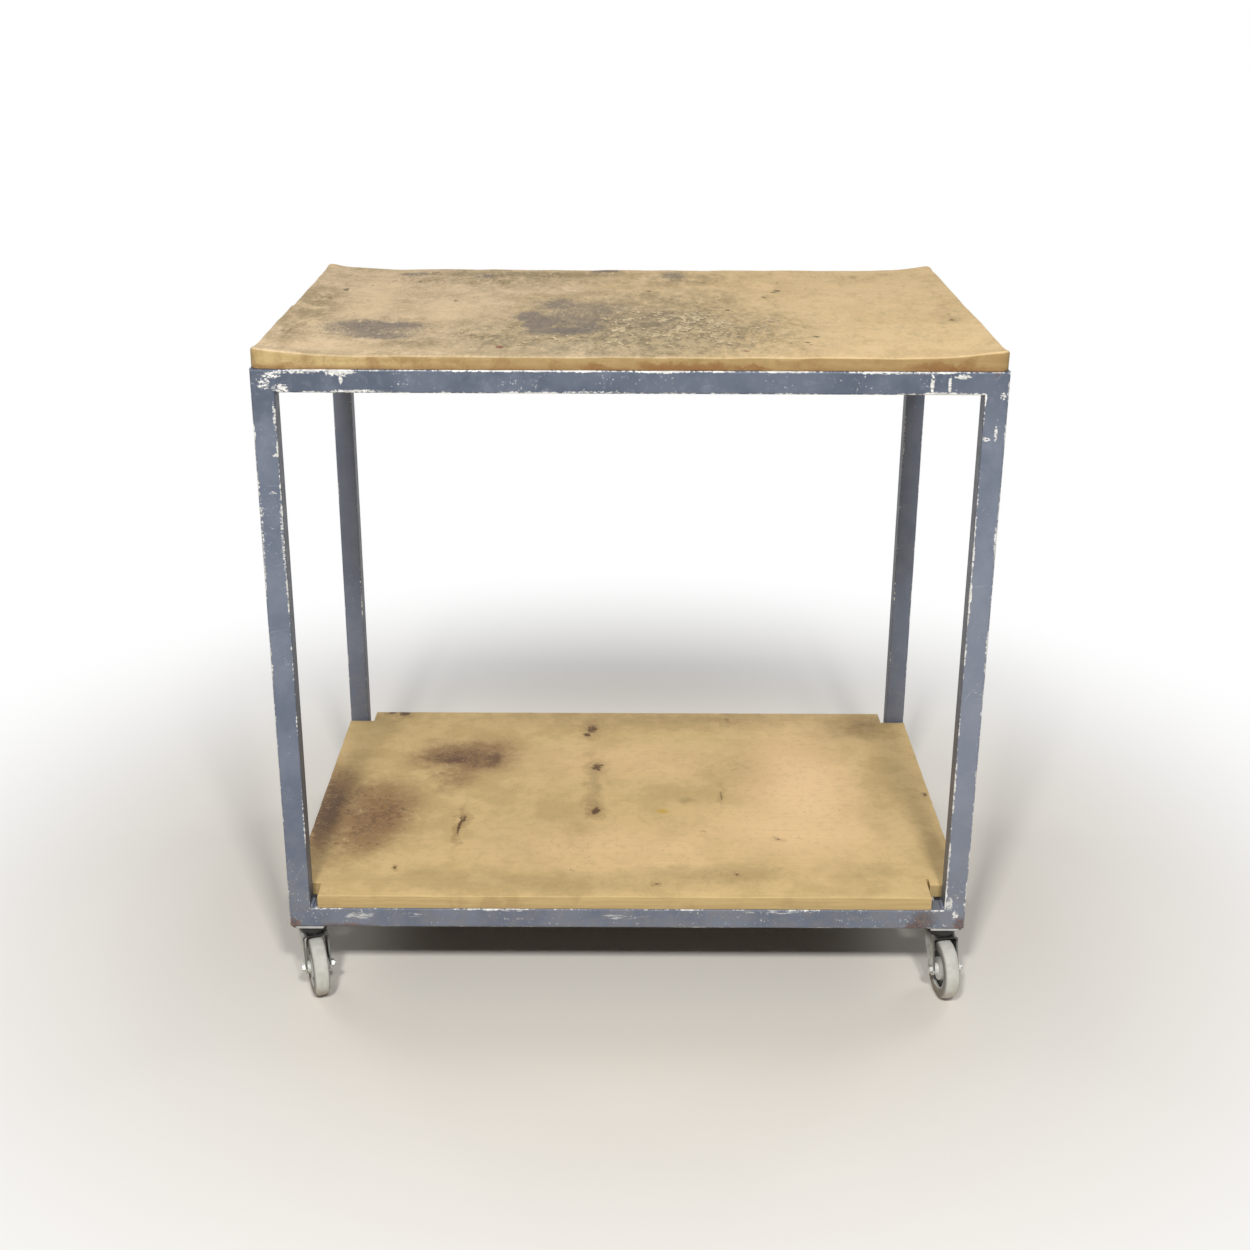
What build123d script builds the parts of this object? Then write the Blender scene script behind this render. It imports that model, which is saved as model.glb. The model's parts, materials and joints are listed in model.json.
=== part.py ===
from build123d import *
import os

# Workshop trolley: welded square-tube frame, worn worktop, notched shelf and four swivel casters.
# Millimetres, +Z up, front towards -Y, origin on the floor under the middle of the trolley.

# Frame of square tube; width, depth and height are over the outer faces
frame_width = 950.0
frame_depth = 620.0
frame_height = 800.0
tube_side = 30.0
tube_wall = 2.0
tube_corner = 3.0
frame_weld_leg = 4.0
frame_weld_length = 22.0

# Worktop slab, worn down to a flat in the middle, so that both ends stand up as lips
worktop_thick = 25.0
worktop_wear = 6.5
worktop_flat_length = 660.0
worktop_corner = 12.0
worktop_arris = 4.0

# Shelf board with a notch round each leg; one notch was sawn wider, and the saw ran past its corner
shelf_thick = 20.0
notch_width = 40.0
wide_notch_width = 48.0
notch_depth = 36.0
saw_cut_width = 2.5
saw_cut_length = 18.0

# Caster plate welded under the frame, and the place of the swivel axis in from the outer faces
caster_height = 108.0
plate_width = 40.0
plate_depth = 50.0
plate_thick = 3.0
plate_weld_length = 20.0
swivel_from_side = 27.0
swivel_from_front = plate_depth / 2

# Swivel bearing: ball row between a race under the plate and a race on the fork.
# Drops are measured down from the underside of the frame.
king_radius = 5.0
king_head_radius = 8.5
king_head_thick = 3.0
running_gap = 0.05
free_gap = 0.3
ball_radius = 2.5
ball_count = 8
ball_pitch = 12.5
ball_drop = 11.5
fork_race_drop = 13.0
fork_race_radius = 17.0
upper_race_drop = 10.0
skirt_radius = 20.0
skirt_wall = 2.0
skirt_drop = 15.0

# Pressed fork
fork_gap = 32.0
fork_sheet = 2.5
fork_crown_drop = 17.0
fork_crown_length = 42.0
fork_bend = 4.0
fork_shoulder = 10.0
fork_eye_radius = 9.0
trail = 22.0

# Axle bolt, nut and sleeve
axle_radius = 3.0
hex_across_flats = 10.0
bolt_head_thick = 4.0
nut_thick = 5.0
thread_stub = 3.0
sleeve_radius = 5.0

# Wheel: moulded hub inside a rounded rubber tyre
wheel_radius = 42.5
tyre_width = 22.0
tyre_shoulder = 7.0
rim_radius = 29.0
rim_width = 19.0
rim_lip = 2.5
hub_face_radius = 16.5
hub_face_width = 20.0
web_width = 9.0
boss_radius = 8.5

# Rest angle of each front caster about its swivel axis
left_caster_turn = 19.0
right_caster_turn = 9.0

frame_bottom = caster_height
frame_top = frame_bottom + frame_height
half_width = frame_width / 2
half_depth = frame_depth / 2
shelf_bottom = frame_bottom + tube_side
plate_bottom = frame_bottom - plate_thick
upper_race_under = frame_bottom - upper_race_drop
skirt_under = frame_bottom - skirt_drop
ball_level = frame_bottom - ball_drop
fork_race_top = frame_bottom - fork_race_drop
fork_crown_top = frame_bottom - fork_crown_drop
crown_bottom = fork_crown_top - fork_sheet
fork_width = fork_gap + 2 * fork_sheet

parts = {}


def tube(length):
    """Square tube along X, centred on the origin."""
    bore = tube_side - 2 * tube_wall
    outer = RectangleRounded(tube_side, tube_side, tube_corner)
    inner = RectangleRounded(bore, bore, tube_corner - tube_wall)
    return extrude(Plane.YZ * (outer - inner), length / 2, both=True)


def mitred_tube(length):
    """Square tube along X with both ends cut at 45 degrees; its +Z side keeps the full length."""
    long_half = length / 2
    short_half = long_half - tube_side
    side = tube_side / 2
    corners = ((-long_half, side), (long_half, side), (short_half, -side), (-short_half, -side))
    outline = Polyline(*corners, close=True)
    blank = extrude(Plane.XZ * make_face(outline), tube_side, both=True)
    return tube(length) & blank


def frame_tubes():
    """Front and rear rectangles of mitred tube, joined by plain side rails."""
    rail_z = {"top": frame_top - tube_side / 2, "bottom": frame_bottom + tube_side / 2}
    rail_turn = {"top": 0, "bottom": 180}
    middle_z = (frame_bottom + frame_top) / 2
    leg_x = half_width - tube_side / 2
    rail_y = half_depth - tube_side / 2
    for face, y in (("front", -rail_y), ("rear", rail_y)):
        for level in rail_z:
            rail = Rot(rail_turn[level], 0, 0) * mitred_tube(frame_width)
            parts[f"{level}_rail_{face}"] = Pos(0, y, rail_z[level]) * rail
        for hand, x, turn in (("left", -leg_x, -90), ("right", leg_x, 90)):
            parts[f"leg_{face}_{hand}"] = Pos(x, y, middle_z) * Rot(0, turn, 0) * mitred_tube(frame_height)
    side_length = frame_depth - 2 * tube_side
    for hand, x in (("left", -leg_x), ("right", leg_x)):
        for level in rail_z:
            parts[f"{level}_rail_{hand}"] = Pos(x, 0, rail_z[level]) * Rot(0, 0, 90) * tube(side_length)


def bead(corner, side_a, side_b, length, leg):
    """Fillet weld: a three-sided bar in the inner corner between faces that run along side_a and side_b."""
    place = Plane(corner, x_dir=side_a, z_dir=Vector(side_a).cross(Vector(side_b)))
    outline = make_face(Polyline((0, 0), (leg, 0), (0, leg), close=True))
    return extrude(place * outline, length / 2, both=True)


def frame_welds():
    """Beads in the inner corners where legs, front and rear rails and side rails meet."""
    beads = []
    inner_x = half_width - tube_side
    inner_y = half_depth - tube_side
    middle = tube_side / 2
    for sx in (-1, 1):
        for sy in (-1, 1):
            for level, up in ((frame_bottom, 1), (frame_top, -1)):
                inner_z = level + up * tube_side
                seams = (
                    ((sx * inner_x, sy * (inner_y + middle), inner_z), (-sx, 0, 0), (0, 0, up)),
                    ((sx * inner_x, sy * inner_y, level + up * middle), (-sx, 0, 0), (0, -sy, 0)),
                    ((sx * (inner_x + middle), sy * inner_y, inner_z), (0, -sy, 0), (0, 0, up)),
                )
                for corner, side_a, side_b in seams:
                    beads.append(bead(corner, side_a, side_b, frame_weld_length, frame_weld_leg))
    return Compound(children=beads)


def worktop():
    """Slab worn flat in the middle, with an arc up to the lip at each end, and rounded corners and edges."""
    worn = worktop_thick - worktop_wear
    flat = worktop_flat_length / 2
    ends = ((-half_width, worktop_thick), (-half_width, 0), (half_width, 0), (half_width, worktop_thick))
    outline = [
        Polyline(*ends),
        TangentArc((flat, worn), (half_width, worktop_thick), tangent=(1, 0)),
        Line((-flat, worn), (flat, worn)),
        TangentArc((-flat, worn), (-half_width, worktop_thick), tangent=(-1, 0)),
    ]
    slab = extrude(Plane.XZ * make_face(outline), half_depth, both=True)
    slab = fillet(slab.edges().filter_by(Axis.Z), worktop_corner)
    upper = slab.faces().filter_by(lambda face: face.normal_at().Z > 0.5)
    # every upper edge is rounded but the two lines where the arcs leave the flat
    rim = upper.edges().filter_by(lambda edge: abs(abs(edge.center().X) - flat) > worktop_arris)
    slab = fillet(rim, worktop_arris)
    return Pos(0, 0, frame_top) * slab


def shelf_board():
    """Board flush with the frame's outer faces, notched round the legs, with a saw cut at the wide notch."""
    board = Pos(0, 0, shelf_bottom + shelf_thick / 2) * Box(frame_width, frame_depth, shelf_thick)
    cutter_height = 3 * shelf_thick
    for sx in (-1, 1):
        for sy in (-1, 1):
            wide = sx == 1 and sy == -1
            width = wide_notch_width if wide else notch_width
            notch = Box(2 * width, 2 * notch_depth, cutter_height)
            board -= Pos(sx * half_width, sy * half_depth, shelf_bottom) * notch
    cut_x = half_width - wide_notch_width + saw_cut_width / 2
    cut_y = -half_depth + notch_depth
    board -= Pos(cut_x, cut_y, shelf_bottom) * Box(saw_cut_width, 2 * saw_cut_length, cutter_height)
    return board


def turned(outline):
    """Solid of revolution of a closed outline about Z."""
    return revolve(make_face(outline), Axis.Z)


def swivel_ring(radius, level):
    """Torus-shaped cutter of the ball track."""
    return Pos(0, 0, level) * Torus(ball_pitch, radius)


def caster_plate():
    """Flat plate with the hole that the king pin is riveted into."""
    plate = Pos(0, 0, plate_bottom + plate_thick / 2) * Box(plate_width, plate_depth, plate_thick)
    return plate - Pos(0, 0, plate_bottom) * Cylinder(king_radius, 4 * plate_thick)


def swivel_race():
    """Upper ball race with a skirt that hides the balls."""
    shell = skirt_radius - skirt_wall
    outline = Polyline(
        (king_radius, plate_bottom),
        (skirt_radius, plate_bottom),
        (skirt_radius, skirt_under),
        (shell, skirt_under),
        (shell, upper_race_under),
        (king_radius, upper_race_under),
        close=True,
    )
    race = turned(Plane.XZ * outline)
    return race - swivel_ring(ball_radius + free_gap, ball_level)


def king_pin():
    """Pin riveted into the plate, with a flat head that carries the fork."""
    head_top = crown_bottom - free_gap
    outline = Polyline(
        (0, head_top - king_head_thick),
        (king_head_radius, head_top - king_head_thick),
        (king_head_radius, head_top),
        (king_radius, head_top),
        (king_radius, frame_bottom),
        (0, frame_bottom),
        close=True,
    )
    return turned(Plane.XZ * outline)


def swivel_balls():
    """Ring of loose balls lying in the fork's track."""
    balls = PolarLocations(ball_pitch, ball_count)
    return Compound(children=[Pos(0, 0, ball_level) * spot * Sphere(ball_radius) for spot in balls])


def fork():
    """Pressed fork: a bent U whose cheeks taper to the axle eyes, with a raised ball track on its crown."""
    low = wheel_radius - fork_eye_radius
    outer_height = fork_crown_top - low
    inner_height = crown_bottom - low
    outer = Pos(0, low + outer_height / 2) * Rectangle(fork_width, outer_height)
    inner = Pos(0, low + inner_height / 2) * Rectangle(fork_gap, inner_height)
    outer = fillet(outer.vertices().group_by(Axis.Y)[-1], fork_bend)
    inner = fillet(inner.vertices().group_by(Axis.Y)[-1], fork_bend - fork_sheet)
    reach = trail + 2 * fork_eye_radius
    bent = extrude(Plane.XZ * (outer - inner), reach, both=True)

    eye = Pos(-trail, wheel_radius) * Circle(fork_eye_radius)
    shoulder = Pos(0, fork_crown_top - fork_shoulder / 2) * Rectangle(fork_crown_length, fork_shoulder)
    side_view = make_hull(eye.edges() + shoulder.edges())
    cheeks = extrude(Plane.YZ * side_view, fork_width, both=True)

    track = Pos(0, 0, fork_crown_top) * Cylinder(
        fork_race_radius, fork_race_top - fork_crown_top, align=(Align.CENTER, Align.CENTER, Align.MIN)
    )
    body = (bent & cheeks) + track
    body -= swivel_ring(ball_radius + running_gap, ball_level + running_gap)
    body -= Pos(0, 0, fork_crown_top) * Cylinder(king_radius + running_gap, 2 * fork_shoulder)
    hole = Cylinder(axle_radius + running_gap, 2 * fork_width, rotation=(0, 90, 0))
    return body - Pos(0, -trail, wheel_radius) * hole


def on_axle(x, solid):
    """Stands a solid that was drawn along Z on the wheel axle, with its base at x."""
    return Pos(x, -trail, wheel_radius) * Rot(0, 90, 0) * solid


def hexagon(thick):
    """Hexagonal head or nut, standing on the XY plane."""
    return extrude(RegularPolygon(hex_across_flats / 2, 6, major_radius=False), thick)


def axle_bolt():
    """Hexagon bolt through both cheeks; its head bears on the left cheek."""
    shank_length = fork_width + nut_thick + thread_stub
    shank = extrude(Circle(axle_radius), shank_length)
    head = on_axle(-fork_width / 2 - bolt_head_thick, hexagon(bolt_head_thick))
    return head + on_axle(-fork_width / 2, shank)


def axle_nut():
    """Nut that clamps the fork on the sleeve."""
    return on_axle(fork_width / 2, hexagon(nut_thick) - extrude(Circle(axle_radius + running_gap), nut_thick))


def axle_sleeve():
    """Sleeve clamped between the cheeks, on which the wheel turns."""
    ring = Circle(sleeve_radius) - Circle(axle_radius + running_gap)
    return on_axle(-fork_gap / 2, extrude(ring, fork_gap))


def wheel_hub():
    """Moulded hub: bored boss, raised round face, recessed web and rim, alike on both sides."""
    boss_half = fork_gap / 2 - free_gap
    half = [
        (sleeve_radius + running_gap, boss_half),
        (boss_radius, boss_half),
        (boss_radius, hub_face_width / 2),
        (hub_face_radius, hub_face_width / 2),
        (hub_face_radius, web_width / 2),
        (rim_radius - rim_lip, web_width / 2),
        (rim_radius - rim_lip, rim_width / 2),
        (rim_radius, rim_width / 2),
    ]
    mirrored = [(radius, -x) for radius, x in reversed(half)]
    outline = Polyline(*half, *mirrored, close=True)
    return on_axle(0, turned(Plane.XZ * outline))


def tyre():
    """Solid tyre with rounded shoulders, pressed on the hub's rim."""
    half = tyre_width / 2
    middle = (rim_radius + wheel_radius) / 2
    section = Pos(middle, 0) * Rectangle(wheel_radius - rim_radius, tyre_width)
    section = fillet(section.vertices().group_by(Axis.X)[-1], tyre_shoulder)
    inner_corners = section.vertices().group_by(Axis.X)[0]
    section = chamfer(inner_corners, half - rim_width / 2)
    return on_axle(0, revolve(Plane.XZ * section, Axis.Z))


def plate_welds(x, y):
    """Beads along the two sides of one caster plate, against the underside of the front or rear rail."""
    seam_y = y / abs(y) * (half_depth - tube_side / 2)
    down = (0, 0, -1)
    beads = []
    for side in (-1, 1):
        corner = (x + side * plate_width / 2, seam_y, frame_bottom)
        beads.append(bead(corner, (side, 0, 0), down, plate_weld_length, plate_thick))
    return beads


def casters():
    """Four casters; the rear pair is the front pair turned half round the middle of the trolley."""
    makers = {
        "caster_plate": caster_plate,
        "swivel_race": swivel_race,
        "king_pin": king_pin,
        "swivel_balls": swivel_balls,
        "fork": fork,
        "axle_bolt": axle_bolt,
        "axle_nut": axle_nut,
        "axle_sleeve": axle_sleeve,
        "wheel_hub": wheel_hub,
        "tyre": tyre,
    }
    fixed = ("caster_plate", "swivel_race", "king_pin")
    x = half_width - swivel_from_side
    y = half_depth - swivel_from_front
    spots = {
        "front_left": (-x, -y, left_caster_turn),
        "front_right": (x, -y, right_caster_turn),
        "rear_left": (-x, y, right_caster_turn + 180),
        "rear_right": (x, y, left_caster_turn + 180),
    }
    welds = []
    for name, make in makers.items():
        piece = make()
        for corner, (spot_x, spot_y, turn) in spots.items():
            angle = 0 if name in fixed else turn
            parts[f"{name}_{corner}"] = Pos(spot_x, spot_y, 0) * Rot(0, 0, angle) * piece
    for spot_x, spot_y, _ in spots.values():
        welds += plate_welds(spot_x, spot_y)
    parts["plate_welds"] = Compound(children=welds)


frame_tubes()
parts["frame_welds"] = frame_welds()
parts["worktop"] = worktop()
parts["shelf_board"] = shelf_board()
casters()

os.makedirs("parts", exist_ok=True)
for name, solid in parts.items():
    export_step(solid, f"parts/{name}.step")
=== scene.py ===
import json
import math

import bpy
import numpy as np
from mathutils import Matrix, Vector


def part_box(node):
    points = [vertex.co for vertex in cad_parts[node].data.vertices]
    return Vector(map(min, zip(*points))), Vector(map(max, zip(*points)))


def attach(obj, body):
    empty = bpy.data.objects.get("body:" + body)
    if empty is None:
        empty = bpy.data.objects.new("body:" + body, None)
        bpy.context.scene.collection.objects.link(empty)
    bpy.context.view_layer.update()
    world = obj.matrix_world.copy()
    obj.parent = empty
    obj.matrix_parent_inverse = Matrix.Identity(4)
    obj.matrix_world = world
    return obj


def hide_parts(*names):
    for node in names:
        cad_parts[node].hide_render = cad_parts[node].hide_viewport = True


# Workshop trolley: chipped paint on square tube, a worn worktop, a stained shelf and four swivel casters.
# Metres, +Z up, front towards -Y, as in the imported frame.

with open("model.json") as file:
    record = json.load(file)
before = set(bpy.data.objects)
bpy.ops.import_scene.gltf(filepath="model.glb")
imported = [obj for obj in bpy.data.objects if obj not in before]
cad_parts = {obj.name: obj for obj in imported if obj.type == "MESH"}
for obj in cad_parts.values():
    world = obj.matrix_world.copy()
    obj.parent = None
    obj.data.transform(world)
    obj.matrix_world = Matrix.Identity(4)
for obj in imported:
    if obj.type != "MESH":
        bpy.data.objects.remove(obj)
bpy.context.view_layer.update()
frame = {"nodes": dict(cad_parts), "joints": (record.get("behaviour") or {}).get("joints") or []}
nodes = frame["nodes"]
joints = {joint["name"]: joint for joint in frame["joints"]}
corners = ("front_left", "front_right", "rear_left", "rear_right")

mm = 0.001
sharp_angle = 35

# Places read from the frame
leg_low, leg_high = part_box("leg_front_left")
worktop_low, worktop_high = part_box("worktop")
shelf_low, shelf_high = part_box("shelf_board")
tube_side = leg_high.x - leg_low.x
half_width = -leg_low.x
half_depth = -leg_low.y
frame_bottom = leg_low.z
frame_top = leg_high.z
frame_middle = (frame_bottom + frame_top) / 2
worktop_thick = worktop_high.z - worktop_low.z

# Worktop slab
worktop_wear = 6.5 * mm
worktop_flat = 330 * mm
worktop_corner = 13 * mm
worktop_arris = 5 * mm
worktop_foot = 1.5 * mm
worktop_cell = 3.2 * mm
# Noises of the worktop, each (depth, feature size, seed), and how far they are sunk below the surface
worktop_swells = ((0.9 * mm, 90 * mm, 3), (0.5 * mm, 30 * mm, 5))
worktop_dents = ((1.1 * mm, 85 * mm, 21), (0.5 * mm, 21 * mm, 23))
worktop_slack = 0.9 * mm
# The torn middle: its centre and reach along X and Y, and the tears in it
tear_middle = (20 * mm, -130 * mm)
tear_reach = (170 * mm, 160 * mm)
tear_stretch = (1, 1.6, 1)
tear_size = 13 * mm
tear_seed = 11
tear_depth = 1.3 * mm
# Raised corners: the end's Y, the lifts at the left and right, and the reach along X
corner_lifts = ((half_depth, 3.5 * mm, 2.5 * mm, 22 * mm), (-half_depth, 4.4 * mm, 3.2 * mm, 55 * mm))
corner_lift_depth = 20 * mm
# The left edge steps in behind the middle and comes out again further back
hewn_front = -24 * mm
hewn_back = -14 * mm
hewn_length = 120 * mm
hewn_depth = 2.4 * mm

# Shelf board
notch_width = 40 * mm
wide_notch_width = 48 * mm
notch_depth = 36 * mm
saw_cut_width = 2.5 * mm
saw_cut_length = 18 * mm
shelf_arris = 1.2 * mm
shelf_step = 5 * mm
arris_steps = 4
sawn_depth = 0.35 * mm
sawn_size = 14 * mm
sawn_seed = 31

# Weld beads: steps, shape of their scales and bulge, lengths and legs
bead_rows = 49
bead_columns = 9
bead_pitch = 0.55
bead_bow = 0.3
bead_floor = 0.55
bead_swell = 0.18
bead_bulge = 0.28
bead_end_power = 6
frame_bead_length = 22 * mm
frame_bead_leg = 4 * mm
plate_bead_length = 24 * mm
outer_bead_leg = 6 * mm
inner_bead_leg = 3.5 * mm

# Casters, measured from the swivel axis, the frame's underside and the axle
swivel_at = Vector(joints["swivel_front_left"]["pos_m"])
axle_at = Vector(joints["roll_front_left"]["pos_m"])
wheel_radius = axle_at.z
trail = math.hypot(axle_at.x - swivel_at.x, axle_at.y - swivel_at.y)
plate_half_x = 20 * mm
plate_half_y = 25 * mm
plate_thick = 3 * mm
plate_corner = 3 * mm
plate_arris = 0.6 * mm
plate_cell = 4 * mm
race_radius = 20 * mm
race_inner = 18 * mm
race_foot = frame_bottom - 15 * mm
race_roof = frame_bottom - 10 * mm
race_round = 1.2 * mm
race_segments = 72
king_radius = 5 * mm
fork_gap = 32 * mm
fork_sheet = 2.5 * mm
fork_crown_top = frame_bottom - 17 * mm
fork_crown_half = 21 * mm
fork_bend = 4 * mm
fork_shoulder = 10 * mm
fork_eye_radius = 9 * mm
fork_track_radius = 17 * mm
fork_track_rise = 4 * mm
fork_track_foot = 0.5 * mm
fork_track_head = 2.5 * mm
fork_eye_start = 6 * mm
fork_cheek_rows = 16
fork_bend_rows = 6
fork_crown_rows = 25
fork_eye_rows = 10
fork_columns = 25
fork_edge_round = 0.5 * mm
fork_edge_angle = 50
# Oily grime and painted shade on the fork: how far below the crown's top it reaches and where it is full, its
# margin from the cheeks, and its share on the cut edges
grime_shade_depth = 9 * mm
grime_shade_full = 2 * mm
grime_shade_margin = 5 * mm
grime_shade_on_edge = 0.75
tyre_width = 22 * mm
tyre_half = tyre_width / 2
tyre_lip = 1.5 * mm
tyre_shoulder = 3.5 * mm
tyre_tread_inset = 4.5 * mm
tyre_round = 5 * mm
tyre_round_steps = 6
tyre_segments = 128
wall_start = 2.5 * mm
wall_full = 0.3 * mm
rim_radius = 29 * mm
hub_bore = 5.05 * mm
hub_boss_radius = 8.5 * mm
hub_boss_half = 15.6 * mm
hub_face_radius = 16.2 * mm
hub_face_half = 10 * mm
hub_web_inner = 16.8 * mm
hub_web_outer = 26.2 * mm
hub_web_half = 4.5 * mm
hub_rim_inner = 26.6 * mm
hub_rim_half = 9.5 * mm
hub_round = 0.8 * mm
hub_segments = 96
hub_groove_inner = 16.9 * mm
hub_groove_outer = 26.4 * mm
axle_radius = 3 * mm
hex_half = 5 * mm
hex_chamfer = 0.96
hex_segments = 72
hex_least_hole = 1 * mm
bolt_head = 4 * mm
nut_thick = 5 * mm
thread_stub = 3 * mm
thread_pitch = 1 * mm
thread_depth = 0.35 * mm
thread_start = 1 * mm
thread_segments = 36
thread_steps = 8

# Main camera: the photograph's viewpoint
camera_place = (-0.0061, -2.4172, 1.4022)
camera_pitch_down = 0.362654
camera_yaw = 0.000488
camera_roll = 0.004089
camera_lens = 49.610
camera_sensor = 36.0
camera_shift = -0.02

# Studio: the floor's half width and the distances over which it turns white, and the lamps, each with its
# place, side and power
floor_half = 40
floor_near = 0.45
floor_far = 1.5
floor_roughness = 0.7
floor_tone = (230, 224, 214)
plain_white = (1.0, 1.0, 1.0, 1.0)
surround_light = 0.1
lamp_target = (0, 0, 0.5)
lamps = {
    "front_left": ((-0.62, -3.3, 3.3), 0.4, 97),
    "front_right": ((0.62, -3.3, 3.3), 0.4, 85),
    "rear_left": ((-3.2, 2.4, 2.6), 1.6, 30),
    "rear_right": ((3.2, 2.4, 2.6), 1.6, 30),
}

# Lattice noise: the lattice's period, and the whole numbers that scramble a lattice point into a value
lattice_period = 1024
lattice_weights = np.array([7919, 104729, 1299709])
lattice_seed_weight = 15485863
lattice_modulus = 2147483647
lattice_scrambles = ((48271, 0), (16807, 12345))


def lattice_noise(points, size, seed):
    """Smooth noise from -1 to 1: scrambled values on a cubic lattice, blended with a smoothstep along each
    axis."""
    cell = np.floor(points / size).astype(np.int64)
    part = points / size - cell
    part = part * part * (3 - 2 * part)
    total = np.zeros(points.shape[:-1])
    for corner in np.ndindex(2, 2, 2):
        at = (cell + np.array(corner)) % lattice_period
        mixed = ((at * lattice_weights).sum(axis=-1) + seed * lattice_seed_weight) % lattice_modulus
        for factor, added in lattice_scrambles:
            mixed = (mixed * factor + added) % lattice_modulus
        value = mixed / (lattice_modulus / 2) - 1
        total += value * np.prod(np.where(corner, part, 1 - part), axis=-1)
    return total


def layered_noise(points, layers):
    """Sum of several noises, each (depth, feature size, seed)."""
    return sum(depth * lattice_noise(points, size, seed) for depth, size, seed in layers)


def smooth_step(value, low, high):
    """Rises from 0 at low to 1 at high, level at both ends."""
    t = np.clip((value - low) / (high - low), 0, 1)
    return t * t * (3 - 2 * t)


def grid_faces(rows, columns, ring_rows=False, ring_columns=False):
    """Four-sided faces of a grid of points listed row by row; a ring direction joins its last line to its
    first."""
    row, column = np.meshgrid(
        np.arange(rows if ring_rows else rows - 1),
        np.arange(columns if ring_columns else columns - 1),
        indexing="ij",
    )
    next_row = (row + 1) % rows
    next_column = (column + 1) % columns
    quads = (row * columns + column, row * columns + next_column,
             next_row * columns + next_column, next_row * columns + column)
    return np.stack(quads, axis=-1).reshape(-1, 4)


def closed_tube_faces(rows, columns):
    """Faces of a tube of rings of points, with one face across each end."""
    index = np.arange(rows * columns).reshape(rows, columns)
    ends = [index[0, ::-1].tolist(), index[-1].tolist()]
    return grid_faces(rows, columns, False, True).tolist() + ends


def enclosed_volume(points, faces):
    """Signed volume inside a closed mesh: the sum over its triangles of the corner triple products, by
    six."""
    total = 0.0
    quads = np.array([face for face in faces if len(face) == 4])
    if len(quads):
        a, b, c, d = (points[quads[:, i]] for i in range(4))
        total += np.sum(a * np.cross(b, c)) + np.sum(a * np.cross(c, d))
    for face in faces:
        if len(face) != 4:
            fan = points[list(face)]
            total += np.sum(fan[0] * np.cross(fan[1:-1], fan[2:]))
    return total / 6


def turned_outwards(points, faces):
    """Faces of a closed mesh, all turned round if they enclose a negative volume."""
    return [face[::-1] for face in faces] if enclosed_volume(points, faces) < 0 else faces


def make_piece(name, points, faces, body, replaced, slot, material, masks=None):
    """A closed mesh as a piece that rides on a body and stands for a node; its faces are turned outwards."""
    points = np.asarray(points, float).reshape(-1, 3)
    faces = turned_outwards(points, [list(map(int, face)) for face in faces])
    mesh = bpy.data.meshes.new(name)
    mesh.from_pydata(points.tolist(), [], faces)
    mesh.shade_smooth()
    mesh.set_sharp_from_angle(angle=math.radians(sharp_angle))
    for mask, values in (masks or {}).items():
        layer = mesh.attributes.new(mask, "FLOAT", "POINT")
        layer.data.foreach_set("value", np.asarray(values, np.float32).ravel())
    mesh.materials.append(material)
    piece = bpy.data.objects.new(name, mesh)
    bpy.context.scene.collection.objects.link(piece)
    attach(piece, body)
    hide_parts(replaced)


def joined(parts):
    """Several meshes, each (points, faces), as one list of points and one list of faces."""
    points, faces, count = [], [], 0
    for some_points, some_faces in parts:
        some_points = np.asarray(some_points).reshape(-1, 3)
        points.append(some_points)
        faces += [[index + count for index in face] for face in some_faces]
        count += len(some_points)
    return np.concatenate(points), faces


def rounded_profile(outline, radius, steps=4, side_share=0.45):
    """Closed outline with each corner P replaced by the curve (1-t)^2 A + 2t(1-t) P + t^2 B; A and B lie
    on the two sides, one radius from P or the given share of the side if that is less."""
    outline = np.asarray(outline, float)
    before = np.roll(outline, 1, axis=0) - outline
    after = np.roll(outline, -1, axis=0) - outline
    back_length = np.linalg.norm(before, axis=1, keepdims=True)
    on_length = np.linalg.norm(after, axis=1, keepdims=True)
    start = outline + before / back_length * np.minimum(radius, back_length * side_share)
    stop = outline + after / on_length * np.minimum(radius, on_length * side_share)
    t = np.linspace(0, 1, steps)[None, :, None]
    curve = (1 - t) ** 2 * start[:, None] + 2 * t * (1 - t) * outline[:, None] + t * t * stop[:, None]
    return curve.reshape(-1, 2)


def turned_surface(profile, segments):
    """Closed profile of (radius, height) points carried round the Z axis: x = r cos a, y = r sin a, z = h."""
    angle = np.linspace(0, 2 * math.pi, segments, endpoint=False)[:, None]
    radius, height = np.asarray(profile)[None, :, 0], np.asarray(profile)[None, :, 1]
    points = np.stack([radius * np.cos(angle), radius * np.sin(angle), height + 0 * angle], axis=-1)
    return points.reshape(-1, 3), grid_faces(segments, len(profile), True, True)


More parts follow.
